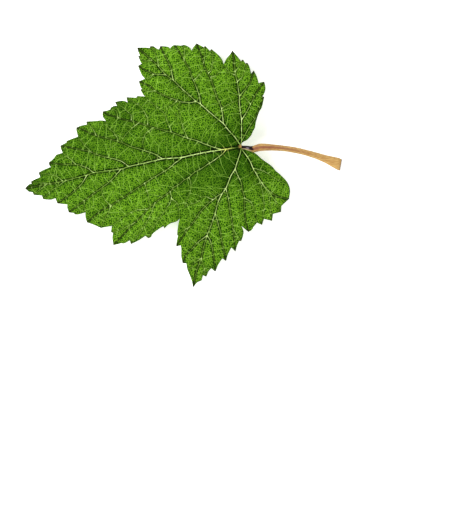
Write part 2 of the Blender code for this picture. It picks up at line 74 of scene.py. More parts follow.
MARGIN: dict[str, Pixels] = {
    "upper basal lobe": (
        (241.6, 143.6), (243.4, 142.0), (246.6, 140.6), (249.3, 137.9), (251.4, 135.3), (253.0, 131.5),
        (254.8, 128.3), (256.0, 122.0), (257.6, 116.5), (259.5, 111.5), (261.9, 107.3), (264.2, 97.2),
        (262.4, 96.6), (263.8, 94.6), (265.4, 90.0), (265.2, 86.0), (264.2, 82.0), (260.7, 82.6),
        (258.7, 83.4), (258.1, 81.0), (256.5, 76.0), (253.7, 70.6), (251.1, 73.8), (250.3, 69.7),
        (248.7, 64.9), (247.1, 62.8), (245.4, 63.5), (242.9, 59.4), (241.0, 61.1), (237.8, 56.9),
        (232.4, 50.4), (229.8, 54.7), (226.6, 58.5), (223.7, 64.2),
    ),
    "upper side lobe": (
        (222.3, 60.1), (220.2, 56.9), (217.0, 53.7), (211.4, 48.9), (209.8, 51.0), (207.4, 48.1),
        (205.0, 45.8), (203.9, 47.3), (199.9, 45.1), (196.5, 43.2), (193.3, 47.3), (191.7, 50.6),
        (190.0, 47.8), (186.3, 45.4), (183.1, 44.5), (181.3, 45.4), (174.0, 44.8), (171.4, 46.5),
        (170.0, 48.4), (167.5, 46.5), (160.2, 45.8), (159.0, 49.1), (157.0, 48.6), (153.3, 45.9),
        (150.3, 45.9), (149.3, 47.9), (145.8, 47.3), (137.2, 47.4), (137.8, 50.5), (139.8, 55.4),
        (138.1, 56.1), (140.2, 61.1), (141.6, 63.6), (138.0, 65.7), (138.6, 67.5), (141.5, 74.5),
        (144.9, 78.8), (138.8, 81.4), (141.0, 87.8), (142.5, 89.0), (140.4, 89.7), (143.7, 95.3),
        (145.5, 96.6),
    ),
    "terminal lobe": (
        (137.3, 96.1), (136.4, 97.8), (126.4, 97.2), (127.7, 102.6), (124.5, 101.0), (119.7, 101.0),
        (115.1, 102.1), (117.0, 106.0), (113.8, 106.1), (110.7, 108.0), (110.4, 109.4), (107.4, 110.6),
        (102.9, 111.4), (102.6, 114.9), (103.4, 117.5), (105.9, 121.0), (101.0, 120.5), (95.7, 121.0),
        (86.3, 121.5), (86.9, 124.6), (81.3, 125.6), (76.5, 127.5), (76.5, 130.7), (78.1, 136.6),
        (73.3, 138.4), (66.7, 140.9), (66.4, 142.7), (60.4, 145.6), (60.8, 148.3), (62.6, 152.8),
        (56.3, 154.7), (53.1, 158.9), (48.7, 162.5), (49.3, 165.3), (50.7, 166.9), (44.0, 169.6),
        (38.4, 172.5), (40.0, 177.1), (33.9, 179.7), (30.7, 181.6), (31.4, 183.6), (28.5, 184.5),
        (24.8, 188.3), (28.5, 191.7), (32.6, 192.3), (33.3, 194.7), (37.1, 195.2), (41.7, 195.4),
        (42.9, 199.2), (50.4, 199.7), (55.5, 198.1), (57.3, 203.5), (65.9, 204.3), (67.5, 204.5),
        (67.3, 208.0), (68.8, 212.5), (73.9, 213.1), (74.9, 214.5), (78.7, 214.4), (85.5, 212.4),
        (85.6, 217.5), (87.0, 222.5), (92.6, 224.3), (101.0, 228.0), (106.0, 227.0), (112.0, 225.9),
        (111.0, 232.2), (113.0, 232.9), (112.4, 238.0), (113.4, 245.2), (118.0, 244.2), (121.4, 243.2),
        (123.9, 243.5), (127.0, 242.1), (129.7, 240.3), (131.1, 244.2), (138.3, 240.6), (143.0, 237.6),
        (145.5, 235.9), (148.4, 238.4), (151.3, 236.9), (152.9, 233.7), (159.9, 228.4), (163.6, 226.4),
        (164.4, 228.5), (169.5, 224.1), (176.9, 221.5), (179.6, 218.8),
    ),
    "lower side lobe": (
        (178.3, 224.6), (177.2, 234.0), (178.0, 235.8), (176.8, 241.0), (176.1, 246.5), (180.7, 245.4),
        (181.3, 249.1), (181.2, 256.0), (182.6, 263.3), (186.3, 263.3), (187.2, 269.0), (190.0, 276.0),
        (192.0, 282.0), (193.0, 287.5), (197.0, 282.7), (201.6, 280.6), (203.0, 275.2), (206.3, 276.9),
        (208.5, 271.5), (211.4, 268.3), (215.4, 271.8), (218.3, 264.6), (222.3, 258.5), (226.1, 261.1),
        (227.9, 254.5), (231.4, 247.6), (235.4, 251.5), (237.0, 245.9), (239.1, 241.1), (241.3, 241.0),
        (242.9, 236.3), (243.6, 231.5), (241.8, 226.2),
    ),
    "lower basal lobe": (
        (245.3, 229.5), (248.4, 232.0), (251.9, 229.9), (253.5, 227.0), (257.0, 222.8), (262.0, 225.0),
        (264.0, 219.0), (272.0, 221.0), (273.0, 214.0), (281.0, 212.0), (281.5, 206.0), (289.0, 199.0),
        (290.0, 190.0), (287.0, 182.0), (280.0, 174.5), (276.0, 171.3), (272.0, 166.5), (267.0, 162.8),
        (262.0, 159.3), (256.8, 154.6), (254.0, 152.9), (250.0, 151.5), (246.6, 150.3), (244.0, 149.5),
        (241.6, 149.2),
    ),
}


class VeinRank(Enum):
    """How large a vein is, how much it stands out, and how much painted shadow lies in its groove."""

    MIDRIB = (0.00018, 0.00010, 0.98, 0.12, 1.00, 1.80)
    LOBE = (0.00013, 0.00010, 1.00, 0.12, 1.00, 2.00)
    SIDE = (0.00012, 0.00007, 1.00, 0.08, 1.00, 0.60)
    BRANCH = (0.00010, 0.00007, 0.86, 0.36, 0.50, 0.60)
    NET = (0.00009, 0.00007, 0.62, 0.44, 0.00, 0.60)

    def __init__(
        self,
        start_width: float,
        end_width: float,
        start_paleness: float,
        end_paleness: float,
        darkness: float,
        fading: float,
    ) -> None:
        """Names a rank's numbers.

        Args:
            start_width: Width where the vein leaves its parent.
            end_width: Width where it ends.
            start_paleness: How much of the pale vein colour shows at its start, from 0 to 1.
            end_paleness: How much of it shows at its end.
            darkness: How much of the painted groove shadow shows on both sides, from 0 to 1.
            fading: The power of its share of length by which its paleness changes.
        """
        self.start_width, self.end_width = start_width, end_width
        self.start_paleness, self.end_paleness = start_paleness, end_paleness
        self.darkness, self.fading = darkness, fading


MIDRIB, LOBE, SIDE, BRANCH, NET = VeinRank
READ_RANKS = (MIDRIB, LOBE, SIDE, BRANCH)

# Distances of the mesh's rows from the middle of a vein, in its widths
ROW_OFFSETS = {MIDRIB: (0.55, 1.20, 2.00), LOBE: (0.80, 1.90), SIDE: (0.90, 2.00), BRANCH: (1.00, 2.20)}

VEINS: tuple[tuple[VeinRank, Pixels], ...] = (
    # The midrib, then the veins above it
    (MIDRIB, ((241.5, 147), (233, 148.3), (226, 149.3), (215, 151), (205, 152.5), (197, 154.2), (190, 155.7),
            (182, 157.5), (168, 158.6), (162.5, 159), (155, 160.7), (147, 162.6), (128.8, 166.6),
            (121.2, 169.1), (94, 172.7), (87, 175), (62.5, 181.2), (42, 185), (26, 188))),
    (SIDE, ((221.5, 149.6), (214, 147.5), (205, 144.3), (196, 140.6), (187.7, 138.4), (171.6, 132.5),
            (153.2, 127.6), (138, 122.8), (123.3, 119.5), (107.2, 114.2), (104, 112.4))),
    (BRANCH, ((171.6, 132.5), (169.4, 126.8), (164.4, 114), (158, 108), (151.7, 103.1), (147, 99))),
    (BRANCH, ((147.7, 124.5), (147.7, 120.7), (146.3, 115.4), (143.7, 111.1), (140.5, 106.6),
              (134.6, 102.6), (127.2, 98))),
    (BRANCH, ((131.4, 120.2), (130.6, 113.8), (127.1, 111.1), (120.7, 105.8), (116, 103))),
    (BRANCH, ((118, 118), (116.5, 111.7), (111.3, 108.8))),
    (BRANCH, ((187.7, 138.4), (183.1, 126.8), (179.7, 115.3), (180.3, 101.9))),
    (BRANCH, ((153.5, 127.7), (145.3, 134.6), (143, 142), (145.3, 150.9))),
    (BRANCH, ((138.5, 123), (131.4, 129.3), (127.7, 132.5), (121, 141.5))),
    (SIDE, ((162.5, 159), (157, 155.4), (152.5, 153.3), (145.3, 150.9), (138.3, 148.7), (131.9, 147.1),
            (122.3, 142.9), (111.7, 139.7), (102.6, 137.3), (94.6, 135), (88, 132.3), (82, 129.5),
            (77.4, 128.2))),
    (BRANCH, ((117.5, 141.3), (117.5, 137.8), (113.3, 131.9), (108.5, 128.2), (106.3, 122))),
    (BRANCH, ((96, 135.4), (93, 129), (87.3, 122.6))),
    (SIDE, ((128.8, 166.6), (121.8, 161.5), (113.8, 158.9), (103.1, 156.5), (95, 153.8), (89.8, 151.4),
            (80, 149.5), (70, 147.5), (61.4, 146.1))),
    (BRANCH, ((91, 152), (84, 144), (78.3, 137.6))),
    (SIDE, ((94, 172.7), (91.5, 171.2), (87.9, 168.3), (82.9, 166.4), (77.6, 164.5), (62.5, 164.3),
            (49.6, 163))),
    (BRANCH, ((76, 164.4), (69, 158), (62.9, 153.4))),
    (BRANCH, ((62.7, 181.1), (58.9, 177.9), (54.1, 175.2), (39.2, 172.8))),
    (BRANCH, ((50, 184), (40, 182.4), (31.6, 181.9))),
    # The veins below the midrib
    (SIDE, ((226, 149.8), (222.6, 154.1), (217.3, 158.1), (213, 161.3), (207.7, 164.5), (200.3, 169.6),
            (195.5, 171.7), (188.8, 177.6), (183.7, 180.5), (179.5, 184.3), (174.1, 187.5), (170.4, 191.5),
            (165.6, 195.2), (160.3, 198.9), (152.3, 205.3), (147.4, 209.6), (143, 215), (138.8, 218.9),
            (130.4, 227.3), (123.4, 234.8), (114, 244.5))),
    (BRANCH, ((147.4, 209.6), (137.4, 209.7), (131.8, 212.4), (125.3, 215.7), (112.8, 225))),
    (BRANCH, ((155, 203), (150, 216), (141, 232), (131.6, 243.4))),
    (BRANCH, ((170.4, 191.5), (171.5, 199.2), (167, 208), (160, 218), (152, 230), (148.6, 237.4))),
    (BRANCH, ((171.3, 198), (177.3, 203.5), (179.2, 208.3), (179.6, 217.4))),
    (BRANCH, ((188.8, 177.6), (190.7, 182.7), (190.4, 192.3), (187.5, 197.9), (184.4, 208))),
    (BRANCH, ((135, 222.6), (124, 228), (113.6, 232.6))),
    (SIDE, ((182, 157.5), (179.5, 160.3), (175.2, 162.9), (172, 166.1), (167.2, 169.6), (160.3, 173.9),
            (153.9, 177.6), (144.8, 183.2), (140, 186.4), (123.7, 197.7), (118.7, 200.5), (109.9, 206.3),
            (102.9, 209.6), (97.3, 213.8), (87.8, 221.8))),
    (BRANCH, ((111, 206), (109, 212), (106, 217), (101.4, 227))),
    (BRANCH, ((110.8, 205.9), (104.3, 198.9), (101, 188.4))),
    (BRANCH, ((144.8, 183.2), (148, 194), (150, 206.8))),
    (SIDE, ((121.2, 169.1), (111, 180.6), (99.5, 189.5), (89.8, 196.6), (82.6, 202.1), (75, 208),
            (69.5, 211.7))),
    (BRANCH, ((84.5, 200.6), (84, 207), (85.3, 211.7))),
    (SIDE, ((87, 175), (84, 180.3), (82.1, 183.5), (78.1, 187.2), (73.3, 192), (66.9, 196.8), (58, 202.8))),
    (BRANCH, ((66, 180.5), (57, 186.5), (49.5, 192.5), (43.6, 198.4))),
    (BRANCH, ((46, 184.4), (40, 189.5), (34, 193.9))),
    # The upper side lobe
    (LOBE, ((241.5, 147), (234.9, 137.4), (228.5, 130.5), (223.4, 123.8), (214.6, 116.6), (205, 108.3),
            (200.7, 104.3), (195.9, 101.4), (189.5, 95.5), (181.5, 88.3), (173.3, 80.3), (166.1, 75),
            (157, 64.9), (150.6, 59), (144.7, 53.7), (138.4, 48.6))),
    (SIDE, ((223.4, 123.8), (222.3, 113.4), (220.5, 105.4), (217, 97.9), (213.3, 86.7), (210.3, 77.7),
            (207.4, 72.3), (204.7, 67), (201.5, 57.9), (200.5, 53), (196.8, 44.4))),
    (BRANCH, ((208.5, 73.4), (211.1, 70.7), (212.5, 64.9), (212.7, 55.3), (211.5, 50))),
    (BRANCH, ((203.5, 63), (205, 55), (205, 47))),
    (BRANCH, ((210.5, 77.5), (217, 75), (221.3, 69.1), (223.4, 65.6))),
    (BRANCH, ((221.4, 109), (230, 104), (239.4, 100))),
    (SIDE, ((200.5, 104.1), (199.4, 96.3), (195.9, 86.2), (191.1, 75), (189.5, 69.1), (186.3, 63.8),
            (181, 54.7), (177.5, 49.4), (175, 46))),
    (BRANCH, ((184, 59.6), (184.5, 50), (183.2, 45.6))),
    (BRANCH, ((193.5, 80.6), (200, 74), (204.8, 67.2))),
    (SIDE, ((173.3, 80.3), (171.9, 73.9), (170.6, 67), (167.1, 59.5), (163.4, 52.6), (160.6, 46.8))),
    (BRANCH, ((158.5, 66.5), (157.7, 60.1), (154.5, 52), (150.8, 46.8))),
    (SIDE, ((195.9, 101.4), (191.7, 102.7), (186.3, 102.5), (180.5, 101.9), (171.4, 98.5), (167.1, 97.1),
            (161.8, 94.2), (154.9, 91), (151.1, 86.7), (142.6, 83), (139.6, 81.8))),
    (BRANCH, ((154.9, 91), (147.9, 91.5), (141.4, 90))),
    (BRANCH, ((176.7, 101.5), (170.3, 106.5), (166.1, 109.7))),
    (SIDE, ((166.1, 75), (160.7, 74.5), (153.8, 74.2), (150.6, 72.3), (145.3, 70.5), (138.9, 66.2))),
    (BRANCH, ((153.8, 74.2), (150.1, 77.7), (145.6, 78.8))),
    (BRANCH, ((152, 60.3), (143.1, 60.6), (139, 56.8))),
    # The upper basal lobe
    (LOBE, ((241.5, 147), (241.5, 133.7), (241.5, 120.3), (240.7, 114.5), (239.4, 103.3), (239.4, 96.5),
            (238.3, 89.9), (237.5, 83), (235.4, 74.5), (234.6, 67), (233.8, 58.5), (232.5, 51.6))),
    (SIDE, ((239.4, 96.5), (245.3, 89.4), (250, 83), (252, 77), (253.5, 71.6))),
    (BRANCH, ((237.3, 82), (241.5, 77.7), (243.7, 73.4), (246.9, 63.8))),
    (BRANCH, ((235, 72), (239, 66), (242.6, 60.4))),
    (BRANCH, ((234.5, 75), (230.9, 72.9), (224.6, 66.9))),
    (SIDE, ((242, 119.5), (246.5, 112.5), (250.3, 105), (255.5, 94.6), (259, 89), (263.5, 82.8))),
    (SIDE, ((241.5, 141.5), (244.5, 136), (248, 129.5), (252.5, 122.3), (255.5, 118), (260, 107),
            (263.7, 98))),
    (BRANCH, ((250.5, 104.6), (246, 99), (240, 94.5))),
    # The lower side lobe
    (LOBE, ((241.5, 147), (239.7, 154.9), (237.5, 161.3), (235.1, 169.1), (231.1, 175.5), (228.5, 182.1),
            (225.8, 188.3), (222.1, 193.9), (217.8, 202.9), (215.1, 213.6), (210.5, 227), (207.1, 235.6),
            (202.9, 250), (201.3, 258.2), (196.5, 271), (193.3, 286))),
    (SIDE, ((222.1, 193.9), (218.3, 195.5), (214.1, 199.2), (209.4, 202.6), (205.3, 206.6), (200.4, 211.9),
            (193.5, 222), (186.3, 231.5), (176.8, 245.6))),
    (BRANCH, ((213, 199.6), (203, 196.3), (199.5, 200.2), (194.4, 203.4), (187.5, 205.1), (184.4, 208))),
    (BRANCH, ((190, 226.6), (184, 230), (178.4, 234.2))),
    (SIDE, ((207.1, 235.6), (201.8, 239.3), (197, 243.3), (190.6, 250.7), (186.3, 254.5), (183, 262.4))),
    (BRANCH, ((201.3, 258.2), (194.9, 263), (191.7, 266.2), (189.4, 272.6))),
    (SIDE, ((225.8, 188.5), (228.5, 199), (230.3, 212), (233, 228), (235.2, 250.4))),
    (BRANCH, ((233, 229), (237, 235), (240.8, 240.4))),
    (SIDE, ((215.1, 213.6), (219.9, 230.2), (222.4, 244), (225.8, 260))),
    (SIDE, ((207.1, 235.6), (210.3, 240.6), (213, 252.3), (215.3, 270.6))),
    (BRANCH, ((201.3, 258.2), (204, 267), (206.1, 276))),
    # The lower basal lobe
    (SIDE, ((235.1, 169.1), (239.1, 178.4), (241.3, 183.2), (242.3, 190.1), (244.5, 197.7), (244.4, 207.5),
            (245.4, 218.5), (248.2, 231))),
    (BRANCH, ((244.5, 198), (250, 201.5), (252.3, 205.2), (255.1, 211.7), (257, 221.6))),
    (LOBE, ((241.5, 147), (242.5, 150.5), (246.6, 156), (250.3, 161.9), (253, 168.3), (258.9, 178.4),
            (263.7, 185.6), (270, 192), (277, 196.4), (287.8, 199))),
    (BRANCH, ((256, 173), (261, 186), (264, 202), (262.4, 223.6))),
    (BRANCH, ((262, 183), (269, 196), (272, 219.8))),
    (BRANCH, ((268, 190.4), (275, 201), (280.6, 211.2))),
    (BRANCH, ((253, 168.3), (263, 171), (274, 178), (285, 183.6))),
)

METRES_PER_PIXEL = MIDRIB_LENGTH / math.dist(TERMINAL_TIP, JUNCTION)

# The triangulation works in millimetres, and its output type 1 keeps what lies inside the outline
MILLIMETRES = 1000.0
SAME_POINT_MM = 1e-4
INSIDE_OUTLINE = 1

# How many places are compared with all the marks at once
BATCH = 3000

# How many waves make a ripple, and the range of their lengths as shares of the ripple's own
RIPPLE_WAVES = 7
RIPPLE_LENGTHS = (0.7, 1.5)

# Large numbers that scramble a cell's column and row into draws from 0 to 1
CELL_PRIMES = (73856093, 19349663, 83492791)
CELL_SCRAMBLES = ((104729, 12.9898, 43758.5453), (104723, 78.233, 24634.6345))

# The Mix node has its sockets of all data types in one list, and these are the ones for colours
MIX_FACTOR, MIX_FIRST_COLOUR, MIX_SECOND_COLOUR, MIX_RESULT = 0, 6, 7, 2


class Seed(IntEnum):
    """The seed of each feature's random draws."""

    AREOLES = 5
    AREOLE_WANDER = 31
    SWELLINGS = 41
    STALK_KNOTS = 51
    PALE_PATCHES = 61
    SHADOW_PATCHES = 63
    BENDS = 71
    RUNG_STARTS = 81
    RUNGS = 82
    DOTS = 101
    HAIRS = 111


def seeded(number: int) -> np.random.Generator:
    """Gives the random draws that go with a seed, the same ones on each run."""
    return np.random.default_rng(number)


def from_junction(pixels: Pixels | np.ndarray) -> np.ndarray:
    """Turns pixels, with y down, into metres from the junction of blade and stalk, with y up."""
    offsets = np.asarray(pixels, float).reshape(-1, 2) - JUNCTION
    return offsets * (METRES_PER_PIXEL, -METRES_PER_PIXEL)


def travelled(line: np.ndarray) -> np.ndarray:
    """Gives the distance along a line from its start to each of its points."""
    return np.concatenate([[0.0], np.cumsum(np.linalg.norm(np.diff(line, axis=0), axis=1))])


def evenly(line: np.ndarray, step: float) -> np.ndarray:
    """Gives points evenly along a line.

    Args:
        line: The line's points.
        step: About how far apart the new points lie.

    Returns:
        The new points, with both ends kept.
    """
    along = travelled(line)
    wanted = np.linspace(0.0, along[-1], max(2, round(along[-1] / step) + 1))
    return np.column_stack([np.interp(wanted, along, line[:, axis]) for axis in range(line.shape[1])])


def through(points: np.ndarray, per_span: int) -> np.ndarray:
    """Draws a smooth curve through points: on each span a cubic whose slopes at the ends are half the
    difference between the neighbouring points (Catmull-Rom).

    Args:
        points: The points that the curve passes.
        per_span: How many points are made for each span.

    Returns:
        The curve's points.
    """
    padded = np.vstack([2.0 * points[0] - points[1], points, 2.0 * points[-1] - points[-2]])
    before, start, end, after = padded[:-3], padded[1:-2], padded[2:-1], padded[3:]
    t = (np.arange(per_span) / per_span)[None, :, None]
    before, start, end, after = (corner[:, None, :] for corner in (before, start, end, after))
    curve = 0.5 * (
        2.0 * start
        + (end - before) * t
        + (2.0 * before - 5.0 * start + 4.0 * end - after) * t**2
        + (3.0 * start - before - 3.0 * end + after) * t**3
    )
    return np.vstack([curve.reshape(-1, points.shape[1]), points[-1]])


def ripple(points: np.ndarray, wavelength: float, number: int) -> np.ndarray:
    """A smooth random value from about -1 to 1: the sum of waves in random directions, divided so that it
    keeps that range.

    Args:
        points: Places, two columns.
        wavelength: About how long the waves are.
        number: Seed of the waves.

    Returns:
        One value for each place.
    """
    draws = seeded(number)
    turn = draws.uniform(0.0, 2.0 * math.pi, RIPPLE_WAVES)
    phase = draws.uniform(0.0, 2.0 * math.pi, RIPPLE_WAVES)
    pitch = 2.0 * math.pi / (wavelength * draws.uniform(*RIPPLE_LENGTHS, RIPPLE_WAVES))
    waves = np.sin(points @ (np.array([np.cos(turn), np.sin(turn)]) * pitch) + phase)
    return waves.sum(axis=1) / math.sqrt(2.0 * RIPPLE_WAVES)


def warped(points: np.ndarray, wavelength: float, reach: float, number: int) -> np.ndarray:
    """Moves each place a little along two ripples, so that straight borders become wandering ones."""
    shift = [ripple(points, wavelength, number + axis) for axis in (0, 1)]
    return points + reach * np.column_stack(shift)


def bell(distance: np.ndarray, reach: float) -> np.ndarray:
    """A bell curve of distance: 1 at none, e to the power of -1 at the reach, and soon 0 beyond."""
    return np.exp(-((distance / reach) ** 2))


def batches(points: np.ndarray) -> list[np.ndarray]:
    """Splits places into parts small enough to be compared with all the marks at once."""
    return np.array_split(points, max(1, len(points) // BATCH))


def distance_to(points: np.ndarray, pixel: Pair) -> np.ndarray:
    """Gives each place's distance to a point of the photograph."""
    return np.linalg.norm(points - from_junction((pixel,)), axis=1)


def nearest_distance(points: np.ndarray, marks: np.ndarray) -> np.ndarray:
    """Gives each place's distance to the nearest of some marks.

    Args:
        points: Places, two columns.
        marks: The marks, two columns.

    Returns:
        The distances.
    """
    found = []
    for part in batches(points):
        squared = (part[:, 0, None] - marks[:, 0]) ** 2 + (part[:, 1, None] - marks[:, 1]) ** 2
        found.append(np.sqrt(squared.min(axis=1)))
    return np.concatenate(found)


@dataclass(frozen=True)
class CellPattern:
    """Cells like those of a net: the places nearer to one scattered centre than to any other."""

    spacing: float
    number: int
    jitter: float = 0.42
    cells_around: int = 2

    def centres(self, columns: np.ndarray, rows: np.ndarray) -> np.ndarray:
        """Gives the centre of each cell: a square lattice's point, moved by a draw that depends on it.

        Args:
            columns: Whole column numbers.
            rows: Whole row numbers.

        Returns:
            The centres, with x and y on the last axis.
        """
        by_column, by_row, by_number = CELL_PRIMES
        key = (columns * by_column) ^ (rows * by_row) ^ (self.number * by_number)
        scrambled = [np.sin(key % wrap * pitch) * gain for wrap, pitch, gain in CELL_SCRAMBLES]
        draw = np.stack([value - np.floor(value) for value in scrambled], axis=-1) - 0.5
        stagger = 0.5 * (rows % 2)
        place = np.stack([columns + stagger, rows], axis=-1)
        return (place + 2.0 * self.jitter * draw) * self.spacing

    def borders(self, points: np.ndarray) -> np.ndarray:
        """Gives each place's distance to the nearest border: half of how much farther the second nearest
        centre is than the nearest one.

        Args:
            points: Places, two columns.

        Returns:
            The distances.
        """
        home = np.floor(points / self.spacing).astype(np.int64)
        reach = np.arange(-self.cells_around, self.cells_around + 1)
        columns = home[:, 0, None, None] + reach[None, :, None]
        rows = home[:, 1, None, None] + reach[None, None, :]
        columns, rows = np.broadcast_arrays(columns, rows)
        centres = self.centres(columns, rows).reshape(len(points), -1, 2)
        distance = np.linalg.norm(centres - points[:, None, :], axis=2)
        nearest = np.partition(distance, 1, axis=1)
        return (nearest[:, 1] - nearest[:, 0]) / 2.0


@dataclass
class Margin:
    """The toothed outline of the blade, as a closed line round its lobes."""

    step: float = 0.00019
    corner_turn: float = math.radians(34.0)
    tooth_turn: float = math.radians(52.0)
    points_per_span: int = 8
    line: np.ndarray = field(init=False)
    tooth_tips: np.ndarray = field(init=False)

    def __post_init__(self) -> None:
        """Draws smooth curves between the outline's corners, and finds the tips of its teeth."""
        read = from_junction([point for lobe in MARGIN.values() for point in lobe])
        into = read - np.roll(read, 1, axis=0)
        out = np.roll(read, -1, axis=0) - read
        turn = np.arctan2(into[:, 0] * out[:, 1] - into[:, 1] * out[:, 0], (into * out).sum(axis=1))
        self.tooth_tips = read[turn > self.tooth_turn]
        corners = np.flatnonzero(np.abs(turn) > self.corner_turn)
        corners = np.unique(np.append(corners, 0))
        stretches = []
        for first, last in zip(corners, np.append(corners[1:], len(read))):
            stretch = np.take(read, np.arange(first, last + 1), axis=0, mode="wrap")
            stretches.append(evenly(through(stretch, self.points_per_span), self.step)[:-1])
        self.line = np.vstack(stretches)

    def inside(self, points: np.ndarray) -> np.ndarray:
        """Tells which places lie inside the outline: a ray to the right crosses it an odd number of times.

        Args:
            points: Places, two columns.

        Returns:
            True for each place inside.
        """
        start, end = self.line, np.roll(self.line, -1, axis=0)
        rise = np.where(end[:, 1] == start[:, 1], 1.0, end[:, 1] - start[:, 1])
        found = []
        for part in batches(points):
            x, y = part[:, 0, None], part[:, 1, None]
            spans = (start[:, 1] > y) != (end[:, 1] > y)
            crossing = start[:, 0] + (y - start[:, 1]) * (end[:, 0] - start[:, 0]) / rise
            found.append((spans & (x < crossing)).sum(axis=1) % 2 == 1)
        return np.concatenate(found)

    def distance(self, points: np.ndarray) -> np.ndarray:
        """Gives each place's distance to the outline's nearest point."""
        return nearest_distance(points, self.line)

    def tip_distance(self, points: np.ndarray) -> np.ndarray:
        """Gives each place's distance to the nearest tooth tip."""
        return nearest_distance(points, self.tooth_tips)


@dataclass
class NearVein:
    """What each place finds at the nearest vein of one rank, measured in that vein's widths."""

    distance: np.ndarray
    width: np.ndarray
    paleness: np.ndarray

    @property
    def widths_away(self) -> np.ndarray:
        """Distance divided by the vein's width."""
        return self.distance / self.width


@dataclass
class VeinNet:
    """The veins of one rank as short straight pieces."""

    rank: VeinRank
    lines: list[np.ndarray]
    piece_length: float = 0.0005

    def __post_init__(self) -> None:
        """Cuts the lines into pieces and works out each one's width and paleness at both ends."""
        starts, ends, shares = [], [], []
        for line in self.lines:
            line = evenly(line, self.piece_length)
            share = travelled(line) / travelled(line)[-1]
            starts.append(line[:-1])
            ends.append(line[1:])
            shares.append(np.column_stack([share[:-1], share[1:]]))
        self.starts = np.vstack(starts).astype(np.float32)
        self.runs = np.vstack(ends).astype(np.float32) - self.starts
        self.shares = np.vstack(shares).astype(np.float32)

    def width_at(self, share: np.ndarray) -> np.ndarray:
        """Gives the width at a share of the vein's length: it narrows evenly."""
        return self.rank.start_width + (self.rank.end_width - self.rank.start_width) * share

    def near(self, points: np.ndarray) -> NearVein:
        """Finds, for each place, the vein piece that is the fewest widths away.

        Args:
            points: Places, two columns.

        Returns:
            The distance to it, and the vein's width and paleness there.
        """
        squared = (self.runs**2).sum(axis=1)
        found = []
        for part in batches(points.astype(np.float32)):
            offset_x = part[:, 0, None] - self.starts[:, 0]
            offset_y = part[:, 1, None] - self.starts[:, 1]
            share = np.clip((offset_x * self.runs[:, 0] + offset_y * self.runs[:, 1]) / squared, 0.0, 1.0)
            offset_x -= share * self.runs[:, 0]
            offset_y -= share * self.runs[:, 1]
            distance = np.sqrt(offset_x**2 + offset_y**2)
            whole = self.shares[:, 0] + share * (self.shares[:, 1] - self.shares[:, 0])
            best = (distance / self.width_at(whole)).argmin(axis=1)
            rows = np.arange(len(part))
            found.append(np.column_stack([distance[rows, best], whole[rows, best]]))
        distance, share = np.vstack(found).T
        faded = (self.rank.end_paleness - self.rank.start_paleness) * share**self.rank.fading
        paleness = self.rank.start_paleness + faded
        return NearVein(distance.astype(float), self.width_at(share).astype(float), paleness)

    def rows(self, step: float, offsets: tuple[float, ...]) -> np.ndarray:
        """Gives mesh points in rows along the veins.

        Args:
            step: How far apart the points of a row lie.
            offsets: Distances of the rows from the middle, in widths; each is used on both sides.

        Returns:
            The points of all rows.
        """
        made = []
        for line in self.lines:
            middle = evenly(line, step)
            run = np.gradient(middle, axis=0)
            side = np.column_stack([-run[:, 1], run[:, 0]]) / np.linalg.norm(run, axis=1)[:, None]
            reach = self.width_at(travelled(middle) / travelled(middle)[-1])[:, None]
            made.append(middle)
            for offset in offsets:
                made += [middle + side * reach * offset, middle - side * reach * offset]
        return np.vstack(made)


